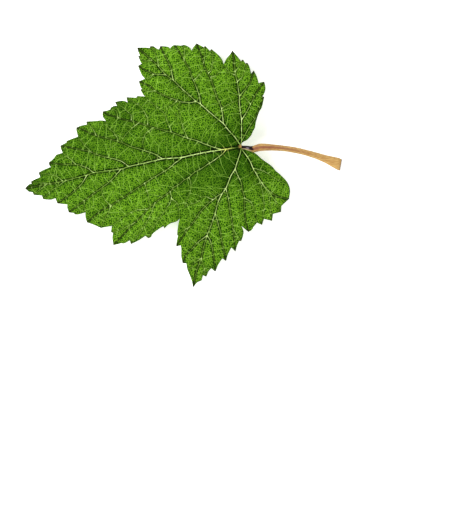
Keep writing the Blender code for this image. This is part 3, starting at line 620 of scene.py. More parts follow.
@dataclass
class Venation:
    """All the veins: those read in the photograph, and the smallest ones that a rule draws between them."""

    margin: Margin
    curve_points: int = 6
    rung_spacing: float = 0.0018
    rung_length: float = 0.0036
    rung_step: float = 0.00022
    rung_piece: float = 0.00030
    rung_turn: float = 0.11
    rung_uneven: Pair = (0.55, 1.45)
    rung_lean: float = 0.20
    rung_lean_spread: float = 0.15
    rung_clear: float = 0.00024
    first_meeting: int = 2
    shortest_rung: int = 4
    bend_wavelength: float = 0.0010
    bend_reach: float = 0.00009
    nets: dict[VeinRank, VeinNet] = field(init=False)
    nodes: np.ndarray = field(init=False)

    def __post_init__(self) -> None:
        """Makes one net for each rank, and gathers the places where a vein leaves another."""
        self.nets = {}
        for rank in READ_RANKS:
            lines = [through(from_junction(read), self.curve_points) for kind, read in VEINS if kind is rank]
            if rank is BRANCH:
                lines = [self.crooked(line) for line in lines]
            self.nets[rank] = VeinNet(rank, lines)
        self.nets[NET] = VeinNet(NET, self.rungs(), self.rung_piece)
        branching = [line[0] for rank in (SIDE, BRANCH) for line in self.nets[rank].lines]
        self.nodes = np.array(branching)

    def crooked(self, line: np.ndarray) -> np.ndarray:
        """Makes a vein bend a little every millimetre or so, as small veins do, with both ends kept.

        Args:
            line: The vein's points.

        Returns:
            The bent vein's points.
        """
        line = evenly(line, self.rung_step)
        along = travelled(line)
        ease = np.clip(np.minimum(along, along[-1] - along) / self.bend_wavelength, 0.0, 1.0)[:, None]
        return line + ease * (warped(line, self.bend_wavelength, self.bend_reach, Seed.BENDS) - line)

    def rung_starts(self) -> tuple[np.ndarray, np.ndarray]:
        """Finds where the smallest veins leave the larger ones: on both sides, at uneven distances.

        Returns:
            The places, and the angle in which each one sets off, about square to its parent.
        """
        draws = seeded(Seed.RUNG_STARTS)
        places, angles = [], []
        for rank in READ_RANKS:
            for line in self.nets[rank].lines:
                along = travelled(line)
                for side in (-1.0, 1.0):
                    steps = draws.uniform(*self.rung_uneven, int(along[-1] / self.rung_spacing))
                    wanted = np.cumsum(steps) * self.rung_spacing
                    wanted = wanted[wanted < along[-1]]
                    place = np.column_stack([np.interp(wanted, along, line[:, axis]) for axis in (0, 1)])
                    ahead = np.column_stack(
                        [np.interp(wanted + self.rung_step, along, line[:, axis]) for axis in (0, 1)]
                    )
                    run = ahead - place
                    square = np.arctan2(run[:, 1], run[:, 0]) + side * math.pi / 2.0
                    places.append(place)
                    leaning = draws.normal(-self.rung_lean * side, self.rung_lean_spread, len(square))
                    angles.append(square + leaning)
        return np.vstack(places), np.concatenate(angles)

    def rungs(self) -> list[np.ndarray]:
        """Draws the smallest veins, like rungs of a crooked ladder between the larger ones: each sets off
        from its parent, turns a little at each step, and ends at the next vein or near the margin.

        Returns:
            One line for each small vein.
        """
        draws = seeded(Seed.RUNGS)
        place, angle = self.rung_starts()
        larger = np.vstack([evenly(line, self.rung_step) for net in self.nets.values() for line in net.lines])
        tracks = [place]
        running = np.ones(len(place), bool)
        lengths = np.ones(len(place), int)
        owners = np.arange(len(place))
        for number in range(int(self.rung_length / self.rung_step)):
            angle = angle + draws.normal(0.0, self.rung_turn, len(angle))
            place = place + self.rung_step * np.column_stack([np.cos(angle), np.sin(angle)])
            running &= self.margin.inside(place) & (self.margin.distance(place) > self.rung_clear)
            lengths += running
            if number >= self.first_meeting:
                started = tracks[self.first_meeting:]
                marks = np.vstack([larger, *started])
                mark_owners = np.concatenate([np.full(len(larger), -1), np.tile(owners, len(started))])
                met, joint = self.meetings(place, owners, marks, mark_owners)
                place = np.where(met[:, None], joint, place)
                running &= ~met
            tracks.append(place)
        tracks = np.stack(tracks, axis=1)
        return [track[:length] for track, length in zip(tracks, lengths) if length >= self.shortest_rung]

    def meetings(
        self, place: np.ndarray, owners: np.ndarray, marks: np.ndarray, mark_owners: np.ndarray
    ) -> tuple[np.ndarray, np.ndarray]:
        """Finds which growing veins have come near another vein.

        Args:
            place: The growing ends.
            owners: The number of each growing vein.
            marks: Points of all the veins that can be met.
            mark_owners: The number of the growing vein that each of them belongs to, or -1.

        Returns:
            Whether each end has met a vein, and the nearest point of another vein.
        """
        squared = (place[:, 0, None] - marks[:, 0]) ** 2 + (place[:, 1, None] - marks[:, 1]) ** 2
        squared[owners[:, None] == mark_owners] = np.inf
        nearest = squared.argmin(axis=1)
        return squared[owners, nearest] < self.rung_clear**2, marks[nearest]


@dataclass(frozen=True)
class BladeForm:
    """The blade's main heights: the same dome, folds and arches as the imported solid's."""

    dome_height: float = 0.0050
    dome_sink: float = 0.0007
    fold_rise: float = 0.0010
    fold_reach: float = 0.0035
    arch_rise: float = 0.0004
    arch_reach: float = 0.0009
    flattened_below: float = 0.0012

    def dome(self, points: np.ndarray) -> np.ndarray:
        """Height of the plain dome: it falls with the square of the distance along and across the midrib,
        so that the tips of the three large lobes are at the same level.

        Args:
            points: Places from the junction, two columns.

        Returns:
            The heights.
        """
        along_axis = from_junction((TERMINAL_TIP,))[0] / MIDRIB_LENGTH
        across_axis = np.array([along_axis[1], -along_axis[0]])
        along, across = points @ along_axis, points @ across_axis
        falls = []
        for tip in (UPPER_SIDE_TIP, LOWER_SIDE_TIP):
            place = from_junction((tip,))[0]
            fall_along = (place @ along_axis / MIDRIB_LENGTH) ** 2
            falls.append((1.0 - fall_along) / (place @ across_axis) ** 2)
        fall_across = np.where(across > 0.0, falls[0], falls[1])
        return self.dome_height * (1.0 - (along / MIDRIB_LENGTH) ** 2 - fall_across * across**2)

    def lower_face(self, points: np.ndarray, near: dict[VeinRank, NearVein]) -> np.ndarray:
        """Height of the lower face between its veins: the dome, with a fold at each main vein and an arch
        between the smaller ones, and never below the floor.

        Args:
            points: Places from the junction, two columns.
            near: The nearest vein of each rank for each place.

        Returns:
            The heights.
        """
        from_main = np.minimum(near[MIDRIB].distance, near[LOBE].distance)
        from_any = np.min([near[rank].distance for rank in READ_RANKS], axis=0)
        plain = self.dome(points)
        ease = np.clip(plain / self.flattened_below, 0.0, 1.0)
        fold = self.fold_rise * (1.0 - np.exp(-from_main / self.fold_reach))
        arch = self.arch_rise * (1.0 - bell(from_any, self.arch_reach))
        return np.maximum(plain - self.dome_sink + ease * (fold + arch), 0.0)


def clear_points(ranked: list[np.ndarray], cell: float, reach: int) -> np.ndarray:
    """Joins sets of mesh points in order, leaving out a point that lies too near one of an earlier set. Each
    kept point marks its square of a fine chequerboard, and a later point stays only where no marked square
    is near; within a set, one point stays in each square.

    Args:
        ranked: The sets, the most important one first.
        cell: Side of a square.
        reach: How many squares away counts as near.

    Returns:
        The kept points.
    """
    low = np.min([points.min(axis=0) for points in ranked], axis=0) - 4.0 * cell
    high = np.max([points.max(axis=0) for points in ranked], axis=0) + 4.0 * cell
    size = np.ceil((high - low) / cell).astype(int) + 2 * reach
    marked = np.zeros(size, bool)
    kept = []
    for number, points in enumerate(ranked):
        squares = np.floor((points - low) / cell).astype(int) + reach
        if number:
            _, first = np.unique(squares[:, 0] * size[1] + squares[:, 1], return_index=True)
            points, squares = points[np.sort(first)], squares[np.sort(first)]
            near = np.zeros(len(points), bool)
            for right in range(-reach, reach + 1):
                for up in range(-reach, reach + 1):
                    near |= marked[squares[:, 0] + right, squares[:, 1] + up]
            points, squares = points[~near], squares[~near]
        marked[squares[:, 0], squares[:, 1]] = True
        kept.append(points)
    return np.vstack(kept)


def new_object(
    name: str, points: np.ndarray, faces: np.ndarray | list, smooth: bool = True
) -> bpy.types.Object:
    """Makes a mesh object at the origin.

    Args:
        name: Its name.
        points: Its corners in the frame.
        faces: Its faces as corner numbers, turned outwards.
        smooth: Whether its shading is smooth.

    Returns:
        The object.
    """
    mesh = bpy.data.meshes.new(name)
    mesh.from_pydata(np.asarray(points).tolist(), [], np.asarray(faces).tolist())
    mesh.polygons.foreach_set("use_smooth", np.full(len(mesh.polygons), smooth))
    mesh.update()
    piece = bpy.data.objects.new(name, mesh)
    bpy.context.scene.collection.objects.link(piece)
    return piece


def add_values(piece: bpy.types.Object, values: dict[str, np.ndarray]) -> None:
    """Stores numbers on a piece's corners, for its material to read by name.

    Args:
        piece: The object.
        values: One array for each name.
    """
    for name, numbers in values.items():
        layer = piece.data.attributes.new(name, "FLOAT", "POINT")
        layer.data.foreach_set("value", np.asarray(numbers, np.float32))


class Signal:
    """A number that varies over a surface. Arithmetic on it adds Math nodes to its material."""

    def __init__(self, book: "NodeBook", socket: bpy.types.NodeSocket) -> None:
        """Wraps an output socket of a material."""
        self.book = book
        self.socket = socket

    def _with(self, operation: str, *others: "Signal | float") -> "Signal":
        """Adds a Math node on this number and others."""
        values = dict(enumerate((self, *others)))
        return self.book.number("ShaderNodeMath", values, operation=operation)

    def __add__(self, other: "Signal | float") -> "Signal":
        """Sum."""
        return self._with("ADD", other)

    __radd__ = __add__

    def __mul__(self, other: "Signal | float") -> "Signal":
        """Product."""
        return self._with("MULTIPLY", other)

    __rmul__ = __mul__

    def __truediv__(self, other: "Signal | float") -> "Signal":
        """Quotient."""
        return self._with("DIVIDE", other)

    def __sub__(self, other: "Signal | float") -> "Signal":
        """Difference."""
        return self._with("SUBTRACT", other)

    def __rsub__(self, other: float) -> "Signal":
        """Difference the other way round."""
        return self.book.number("ShaderNodeMath", {0: other, 1: self}, operation="SUBTRACT")

    def most(self, other: "Signal | float") -> "Signal":
        """The larger of two numbers."""
        return self._with("MAXIMUM", other)

    def eased(self, low: float, high: float) -> "Signal":
        """Goes smoothly from 0 at low to 1 at high, or the other way when low is larger.

        Args:
            low: Where the result is 0.
            high: Where the result is 1.

        Returns:
            The eased number.
        """
        if low > high:
            return 1.0 - self.eased(high, low)
        values = {"Value": self, "From Min": low, "From Max": high}
        return self.book.number("ShaderNodeMapRange", values, interpolation_type="SMOOTHSTEP")


class NodeBook:
    """One material's nodes, made by name with their settings and values."""

    def __init__(self, name: str) -> None:
        """Starts an empty material.

        Args:
            name: The material's name.
        """
        self.material = bpy.data.materials.new(name)
        self.material.use_nodes = True
        self.tree = self.material.node_tree
        self.tree.nodes.clear()
        self.shader = self.tree.nodes.new("ShaderNodeBsdfPrincipled")
        output = self.tree.nodes.new("ShaderNodeOutputMaterial")
        self.tree.links.new(self.shader.outputs["BSDF"], output.inputs["Surface"])

    def node(self, kind: str, values: dict, **settings: object) -> bpy.types.Node:
        """Adds a node.

        Args:
            kind: The node's type.
            values: Its sockets' values or links, by name or number.
            **settings: Its own settings, which are set first.

        Returns:
            The node.
        """
        made = self.tree.nodes.new(kind)
        for name, setting in settings.items():
            setattr(made, name, setting)
        for name, value in values.items():
            self.join(made.inputs[name], value)
        return made

    def join(self, socket: bpy.types.NodeSocket, value: object) -> None:
        """Links a socket, or sets it to a constant.

        Args:
            socket: The socket.
            value: A number or colour of this book, or a constant.
        """
        if isinstance(value, Signal):
            self.tree.links.new(value.socket, socket)
        elif isinstance(value, bpy.types.NodeSocket):
            self.tree.links.new(value, socket)
        elif isinstance(value, tuple) and len(value) == 3 and socket.type == "RGBA":
            socket.default_value = (*value, 1.0)
        else:
            socket.default_value = value

    def number(self, kind: str, values: dict, output: str | int = 0, **settings: object) -> Signal:
        """Adds a node and gives one of its outputs as a number."""
        return Signal(self, self.node(kind, values, **settings).outputs[output])

    def stored(self, name: str) -> Signal:
        """Reads a number stored on the piece's corners."""
        return self.number("ShaderNodeAttribute", {}, "Fac", attribute_name=name)

    def place(self) -> bpy.types.NodeSocket:
        """The place on the piece, in metres."""
        return self.node("ShaderNodeTexCoord", {}).outputs["Object"]

    def noise(self, place: bpy.types.NodeSocket, size: float, detail: float = 2.0) -> Signal:
        """Cloudy noise round 0.5, with clouds of about that size and so many finer layers."""
        values = {"Vector": place, "Scale": 1.0 / size, "Detail": detail}
        return self.number("ShaderNodeTexNoise", values, "Fac")

    def wandering(self, place: bpy.types.NodeSocket, size: float, reach: float) -> bpy.types.NodeSocket:
        """Moves the place about by cloudy noise, so that what is drawn there has wandering borders.

        Args:
            place: The place.
            size: About how large the noise's clouds are.
            reach: How far the place moves at most.

        Returns:
            The moved place.
        """
        clouds = self.node("ShaderNodeTexNoise", {"Vector": place, "Scale": 1.0 / size, "Detail": 1.0})
        centred = self.vector("SUBTRACT", {0: clouds.outputs["Color"], 1: (0.5, 0.5, 0.5)})
        return self.vector("ADD", {0: place, 1: self.vector("SCALE", {0: centred, "Scale": reach})})

    def vector(self, operation: str, values: dict) -> bpy.types.NodeSocket:
        """Adds a Vector Math node."""
        return self.node("ShaderNodeVectorMath", values, operation=operation).outputs[0]

    def cell_border(self, place: bpy.types.NodeSocket, size: float) -> Signal:
        """Draws cells like those of a net, seen from above.

        Args:
            place: Where they are read.
            size: About how large a cell is.

        Returns:
            The distance to a cell's border, as a share of that size.
        """
        values = {"Vector": place, "Scale": 1.0 / size}
        settings = {"feature": "DISTANCE_TO_EDGE", "voronoi_dimensions": "2D"}
        return self.number("ShaderNodeTexVoronoi", values, "Distance", **settings)

    def mixed(self, share: Signal, first: object, second: object) -> bpy.types.NodeSocket:
        """Blends two colours or colour sockets: the share says how much of the second one shows."""
        values = {MIX_FACTOR: share, MIX_FIRST_COLOUR: first, MIX_SECOND_COLOUR: second}
        return self.node("ShaderNodeMix", values, data_type="RGBA").outputs[MIX_RESULT]

    def finish(
        self, colour: object, roughness: object, relief: Signal | None = None, depth: float = 0.0
    ) -> None:
        """Feeds the shader.

        Args:
            colour: The base colour.
            roughness: The roughness.
            relief: Height of the finest relief, from 0 to 1, or None.
            depth: How deep that relief is.
        """
        self.join(self.shader.inputs["Base Color"], colour)
        self.join(self.shader.inputs["Roughness"], roughness)
        if relief is not None:
            bump = self.node("ShaderNodeBump", {"Height": relief, "Distance": depth, "Strength": 1.0})
            self.join(self.shader.inputs["Normal"], bump.outputs["Normal"])


@dataclass(frozen=True)
class BladeFinish:
    """The blade's skin: green panels mottled by their finest net, with painted light in their middles and
    painted shade by their veins and in listed areas, pale veins with painted shadow in their grooves, brown
    tips.

    An edge is where a mask begins and where it is full. A changing share is its start and its change.
    """

    # the darker end of the skin's tone: cloudy tone, with the painted shade of vein edges and listed areas
    shade_green: Colour = (0.013, 0.068, 0.001)
    leaf_green: Colour = (0.037, 0.134, 0.001)
    cell_green: Colour = (0.004, 0.034, 0.001)
    net_green: Colour = (0.310, 0.665, 0.034)
    rung_green: Colour = (0.370, 0.690, 0.080)
    # the painted shadow colour of the veins' grooves, also used for the dark outline at the rim
    groove_shadow_green: Colour = (0.001, 0.006, 0.001)
    vein_green: Colour = (0.740, 0.970, 0.340)
    vein_yellow: Colour = (0.800, 0.900, 0.180)
    tip_brown: Colour = (0.040, 0.030, 0.012)
    junction_ochre: Colour = (0.480, 0.260, 0.090)
    under_green: Colour = (0.250, 0.400, 0.140)
    under_vein: Colour = (0.560, 0.660, 0.340)
    flank_shadow_widths: Pair = (2.9, 1.8)
    vein_edge: Pair = (0.00002, -0.00002)
    rib_reach: Pair = (0.00020, 0.00008)
    fine_rib_reach: Pair = (0.00008, 0.0)
    wander_size: float = 0.0008
    wander_reach: float = 0.0003
    tone_edge: Pair = (-0.1, 1.0)
    panel_light_tone: float = 0.38
    cloud_tone: float = 0.9
    grain_tone: float = 0.3
    shade_tone: float = 0.60
    mottle_size: float = 0.00038
    veinlet_edge: Pair = (0.15, 0.03)
    veinlet_share: Pair = (0.50, 0.65)
    pit_edge: Pair = (0.04, 0.20)
    pit_share: Pair = (0.84, -0.50)
    areole_size: float = 0.0010
    areole_edge: Pair = (0.080, 0.025)
    areole_share: float = 0.6
    net_share: Pair = (0.29, 0.70)
    least_net: float = 0.20
    speckle_size: float = 0.00042
    speckle_edge: Pair = (0.36, 0.64)
    grain_size: float = 0.00016
    cloud_size: float = 0.0055
    groove_shadow_share: float = 0.97
    pale_edge: Pair = (0.35, 1.0)
    rim_share: float = 0.22
    tip_share: float = 0.85
    under_tip_share: float = 0.70
    under_cloud_edge: Pair = (0.2, 0.8)
    under_cloud_share: float = 0.35
    under_net_shares: tuple[float, float, float] = (0.35, 0.2, 0.5)
    roughness: float = 0.50
    roughness_change: float = 0.25
    relief_shares: tuple[float, float, float, float] = (0.7, 0.5, 0.8, 0.2)
    relief_depth: float = 0.00006
    shine: float = 0.10
    shine_tint: tuple[float, float, float, float] = (0.45, 0.70, 0.12, 1.0)

    def material(self) -> bpy.types.Material:
        """Builds the material.

        Returns:
            The material, which reads the numbers stored on the blade's corners.
        """
        book = NodeBook("leaf_green_skin")
        place = book.place()
        wandering = book.wandering(place, self.wander_size, self.wander_reach)
        mottle = book.cell_border(wandering, self.mottle_size)
        veinlets = mottle.eased(*self.veinlet_edge)
        pits = mottle.eased(*self.pit_edge)
        areole_lines = book.cell_border(wandering, self.areole_size).eased(*self.areole_edge)
        clouds = book.noise(place, self.cloud_size)
        grain = book.noise(place, self.grain_size, 3.0)
        speckle = book.noise(place, self.speckle_size, 1.0).eased(*self.speckle_edge)
        edge = book.stored("away") - 0.5 * book.stored("width")

        tone = self.tone(book, clouds, grain)
        ground = book.mixed(tone.eased(*self.tone_edge), self.shade_green, self.leaf_green)
        pit_start, pit_change = self.pit_share
        ground = book.mixed(pits * (pit_start + pit_change * speckle), ground, self.cell_green)
        veinlet_start, veinlet_change = self.veinlet_share
        net = (veinlets * (veinlet_start + veinlet_change * speckle)).most(self.areole_share * areole_lines)
        net_start, net_change = self.net_share
        net = net * (net_start + net_change * tone).most(self.least_net)
        ground = book.mixed(net, ground, self.net_green)
        upper = self.veined(book, ground, edge)
        upper = book.mixed(book.stored("rim") * self.rim_share, upper, self.groove_shadow_green)
        upper = book.mixed(book.stored("tooth") * self.tip_share, upper, self.tip_brown)
        upper = book.mixed(book.stored("hub"), upper, self.junction_ochre)

        cloudy = clouds.eased(*self.under_cloud_edge) * self.under_cloud_share
        under = book.mixed(cloudy, self.under_green, self.leaf_green)
        of_veinlets, of_areoles, of_rungs = self.under_net_shares
        fine_ribs = veinlets * of_veinlets + areole_lines * of_areoles
        fine_ribs = fine_ribs.most(of_rungs * edge.eased(*self.fine_rib_reach))
        ribs = fine_ribs.most(book.stored("flank").eased(*self.rib_reach))
        under = book.mixed(ribs, under, self.under_vein)
        under = book.mixed(book.stored("tooth") * self.under_tip_share, under, self.tip_brown)
        colour = book.mixed(book.stored("underside"), upper, under)

        of_veinlets, of_areoles, of_net, of_grain = self.relief_shares
        relief = (1.0 - veinlets * of_veinlets - areole_lines * of_areoles) * of_net + grain * of_grain
        roughness = self.roughness + self.roughness_change * (grain - 0.5)
        book.finish(colour, roughness, relief, self.relief_depth)
        book.shader.inputs["Specular IOR Level"].default_value = self.shine
        book.shader.inputs["Specular Tint"].default_value = self.shine_tint
        return book.material

    def tone(self, book: NodeBook, clouds: Signal, grain: Signal) -> Signal:
        """Tells how light the skin is, from about 0 to 1: painted light in a panel's middle and painted shade
        near its veins, cloudy and grainy, with painted shade and light from the listed areas.

        Args:
            book: The material.
            clouds: Its cloudy noise.
            grain: Its finest noise.

        Returns:
            The number.
        """
        # painted light in a panel's middle and painted shade near its veins
        from_panel = self.panel_light_tone * (book.stored("panel") - 0.5)
        tone = 0.5 + from_panel + self.cloud_tone * (clouds - 0.5) + self.grain_tone * (grain - 0.5)
        # painted shade, and painted light where it is below 0, from the listed areas
        return tone - self.shade_tone * book.stored("shade")

    def veined(self, book: NodeBook, ground: bpy.types.NodeSocket, edge: Signal) -> bpy.types.NodeSocket:
        """Paints shadow on the flanks of the larger veins and shade at the junction, and draws the pale core of
        every vein.

        Args:
            book: The material.
            ground: The colour between the veins.
            edge: Distance from the nearest vein's edge, below 0 on the vein.

        Returns:
            The colour with its veins.
        """
        widths_away = book.stored("flank") / book.stored("flank_width")
        # painted shadow in the grooves on both flanks of the larger veins, and painted shade at the junction
        flank = widths_away.eased(*self.flank_shadow_widths) * book.stored("dark")
        dark = flank.most(book.stored("dimmed")) * self.groove_shadow_share
        grooved = book.mixed(dark, ground, self.groove_shadow_green)
        pale = book.stored("pale")
        vein = book.mixed(pale.eased(*self.pale_edge), self.rung_green, self.vein_green)
        vein = book.mixed(book.stored("yellow"), vein, self.vein_yellow)
        return book.mixed(edge.eased(*self.vein_edge) * pale, grooved, vein)


@dataclass(frozen=True)
class StalkFinish:
    """The stalk's skin: ochre with fine lengthwise lines, and a dark purple brown channel by the blade, with a
    painted highlight in the channel.

    An edge along the stalk is in shares of its length, from where a mask begins to where it is full.
    """

    ochre: Colour = (0.480, 0.250, 0.070)
    pale_ochre: Colour = (0.660, 0.430, 0.150)
    purple_brown: Colour = (0.010, 0.002, 0.003)
    # the painted highlight's colour
    sheen_lilac_grey: Colour = (0.300, 0.240, 0.300)
    cream: Colour = (0.640, 0.560, 0.330)
    flush: Colour = (0.260, 0.070, 0.050)
    scar: Colour = (0.250, 0.160, 0.080)
    line_size: float = 0.00016
    line_stretch: float = 0.14
    line_edge: Pair = (0.3, 0.7)
    blotch_size: float = 0.0011
    blotch_edge: Pair = (0.35, 0.7)
    flush_end: Pair = (0.75, 0.1)
    flush_share: float = 0.55
    channel_edge: Pair = (0.35, 0.8)
    channel_end: Pair = (0.95, 0.2)
    channel_share: float = 0.75
    dark_end: Pair = (0.112, 0.094)
    dark_side: Pair = (0.05, 0.30)
    dark_slant: Pair = (0.03, 0.02)
    sheen_start: Pair = (0.022, 0.040)
    sheen_end: Pair = (0.068, 0.048)
    sheen_edge: Pair = (0.55, 0.85)
    sheen_share: float = 0.8
    cream_end: Pair = (0.10, 0.07)
    cream_side: Pair = (0.10, 0.02)
    cream_share: float = 0.7
    scar_start: Pair = (0.985, 1.0)
    roughness: float = 0.42
    roughness_change: float = 0.2
    relief_depth: float = 0.00004
    shine: float = 0.20

    def material(self) -> bpy.types.Material:
        """Builds the material.

        Returns:
            The material, which reads how far along the stalk each place is, how deep in its channel, and how
            much on the side towards the upper lobes.
        """
        book = NodeBook("stalk_skin")
        place = book.place()
        mapping = {"Vector": place, "Scale": (self.line_stretch, 1.0, 1.0)}
        lines = book.noise(book.node("ShaderNodeMapping", mapping).outputs[0], self.line_size, 3.0)
        blotches = book.noise(place, self.blotch_size)
        along, channel, side = book.stored("along"), book.stored("channel"), book.stored("upper_side")
        colour = book.mixed(lines.eased(*self.line_edge), self.ochre, self.pale_ochre)
        flushed = along.eased(*self.flush_end) * blotches.eased(*self.blotch_edge) * self.flush_share
        colour = book.mixed(flushed, colour, self.flush)
        in_channel = channel.eased(*self.channel_edge) * along.eased(*self.channel_end) * self.channel_share
        colour = book.mixed(in_channel, colour, self.flush)
        by_blotch, by_side = self.dark_slant
        slant = along + by_blotch * (blotches - 0.5) + by_side * (side - 0.5)
        by_blade = slant.eased(*self.dark_end) * side.eased(*self.dark_side)
        colour = book.mixed(by_blade, colour, self.purple_brown)
        # painted highlight: a small lilac grey sheen in the channel near the blade
        sheen = along.eased(*self.sheen_start) * along.eased(*self.sheen_end)
        sheen = sheen * channel.eased(*self.sheen_edge) * self.sheen_share
        colour = book.mixed(sheen, colour, self.sheen_lilac_grey)
        lower_edge = along.eased(*self.cream_end) * side.eased(*self.cream_side) * self.cream_share
        colour = book.mixed(lower_edge, colour, self.cream)
        colour = book.mixed(along.eased(*self.scar_start), colour, self.scar)
        roughness = self.roughness + self.roughness_change * (lines - 0.5)
        book.finish(colour, roughness, lines, self.relief_depth)
        book.shader.inputs["Specular IOR Level"].default_value = self.shine
        return book.material


@dataclass(frozen=True)
class CloudyFinish:
    """A plain gloss whose colour goes between two in soft clouds, for the smallest pieces."""

    name: str
    colour: Colour
    other_colour: Colour
    cloud_size: float
    roughness: float
    cloud_edge: Pair = (0.3, 0.7)

    def material(self) -> bpy.types.Material:
        """Builds the material.

        Returns:
            The material.
        """
        book = NodeBook(self.name)
        cloud = book.noise(book.place(), self.cloud_size)
        book.finish(book.mixed(cloud.eased(*self.cloud_edge), self.colour, self.other_colour), self.roughness)
        return book.material


RESIN = CloudyFinish("resin", (0.780, 0.560, 0.060), (0.620, 0.380, 0.030), 0.002, 0.22)
HAIR = CloudyFinish("hair", (0.800, 0.820, 0.700), (0.650, 0.700, 0.480), 0.001, 0.45)


@dataclass(frozen=True)
class Relief:
    """The blade's fine relief. Its reaches across a vein are in that vein's widths, its others in metres."""

    groove_depth: float = 0.95
    groove_reach: float = 1.5
    cord_rise: float = 0.45
    cord_reach: float = 0.60
    rib_depth: float = 0.85
    rib_reach: float = 0.55
    net_groove: float = 0.00005
    net_groove_reach: float = 1.3
    net_rib_share: float = 1.2
    net_rib_reach: float = 0.8
    areoles: CellPattern = CellPattern(0.00105, Seed.AREOLES)
    areole_wander: Pair = (0.0016, 0.0002)
    areole_rise: float = 0.000045
    areole_edge: float = 0.00022
    swelling_rise: float = 0.00005
    swelling_size: float = 0.0024

    def along_veins(self, near: dict[VeinRank, NearVein]) -> tuple[np.ndarray, np.ndarray]:
        """Works out the relief at the veins: a bell-shaped groove in the upper face, with the vein itself as
        a low round cord along its bottom, and a bell-shaped rib under the lower face. At each place the
        deepest one counts.

        Args:
            near: The nearest vein of each rank for each place.

        Returns:
            Depths of the groove and of the rib.
        """
        away = near[NET].widths_away
        groove = self.net_groove * bell(away, self.net_groove_reach)
        rib = self.net_rib_share * self.net_groove * bell(away, self.net_rib_reach)
        for rank in READ_RANKS:
            away, width = near[rank].widths_away, near[rank].width
            cord = self.cord_rise * np.clip(1.0 - (away / self.cord_reach) ** 2, 0.0, 1.0)
            groove = np.maximum(groove, width * (self.groove_depth * bell(away, self.groove_reach) - cord))
            rib = np.maximum(rib, self.rib_depth * width * bell(away, self.rib_reach))
        return groove, rib

    def between_veins(self, points: np.ndarray) -> np.ndarray:
        """Works out the relief between the veins: each mesh of the finest net stands up with a flat top, and
        a smooth random swelling runs over several of them.

        Args:
            points: Places from the junction, two columns.

        Returns:
            How much both faces rise.
        """
        border = self.areoles.borders(warped(points, *self.areole_wander, Seed.AREOLE_WANDER))
        areole = self.areole_rise * (1.0 - bell(border, self.areole_edge))
        return areole + self.swelling_rise * ripple(points, self.swelling_size, Seed.SWELLINGS)


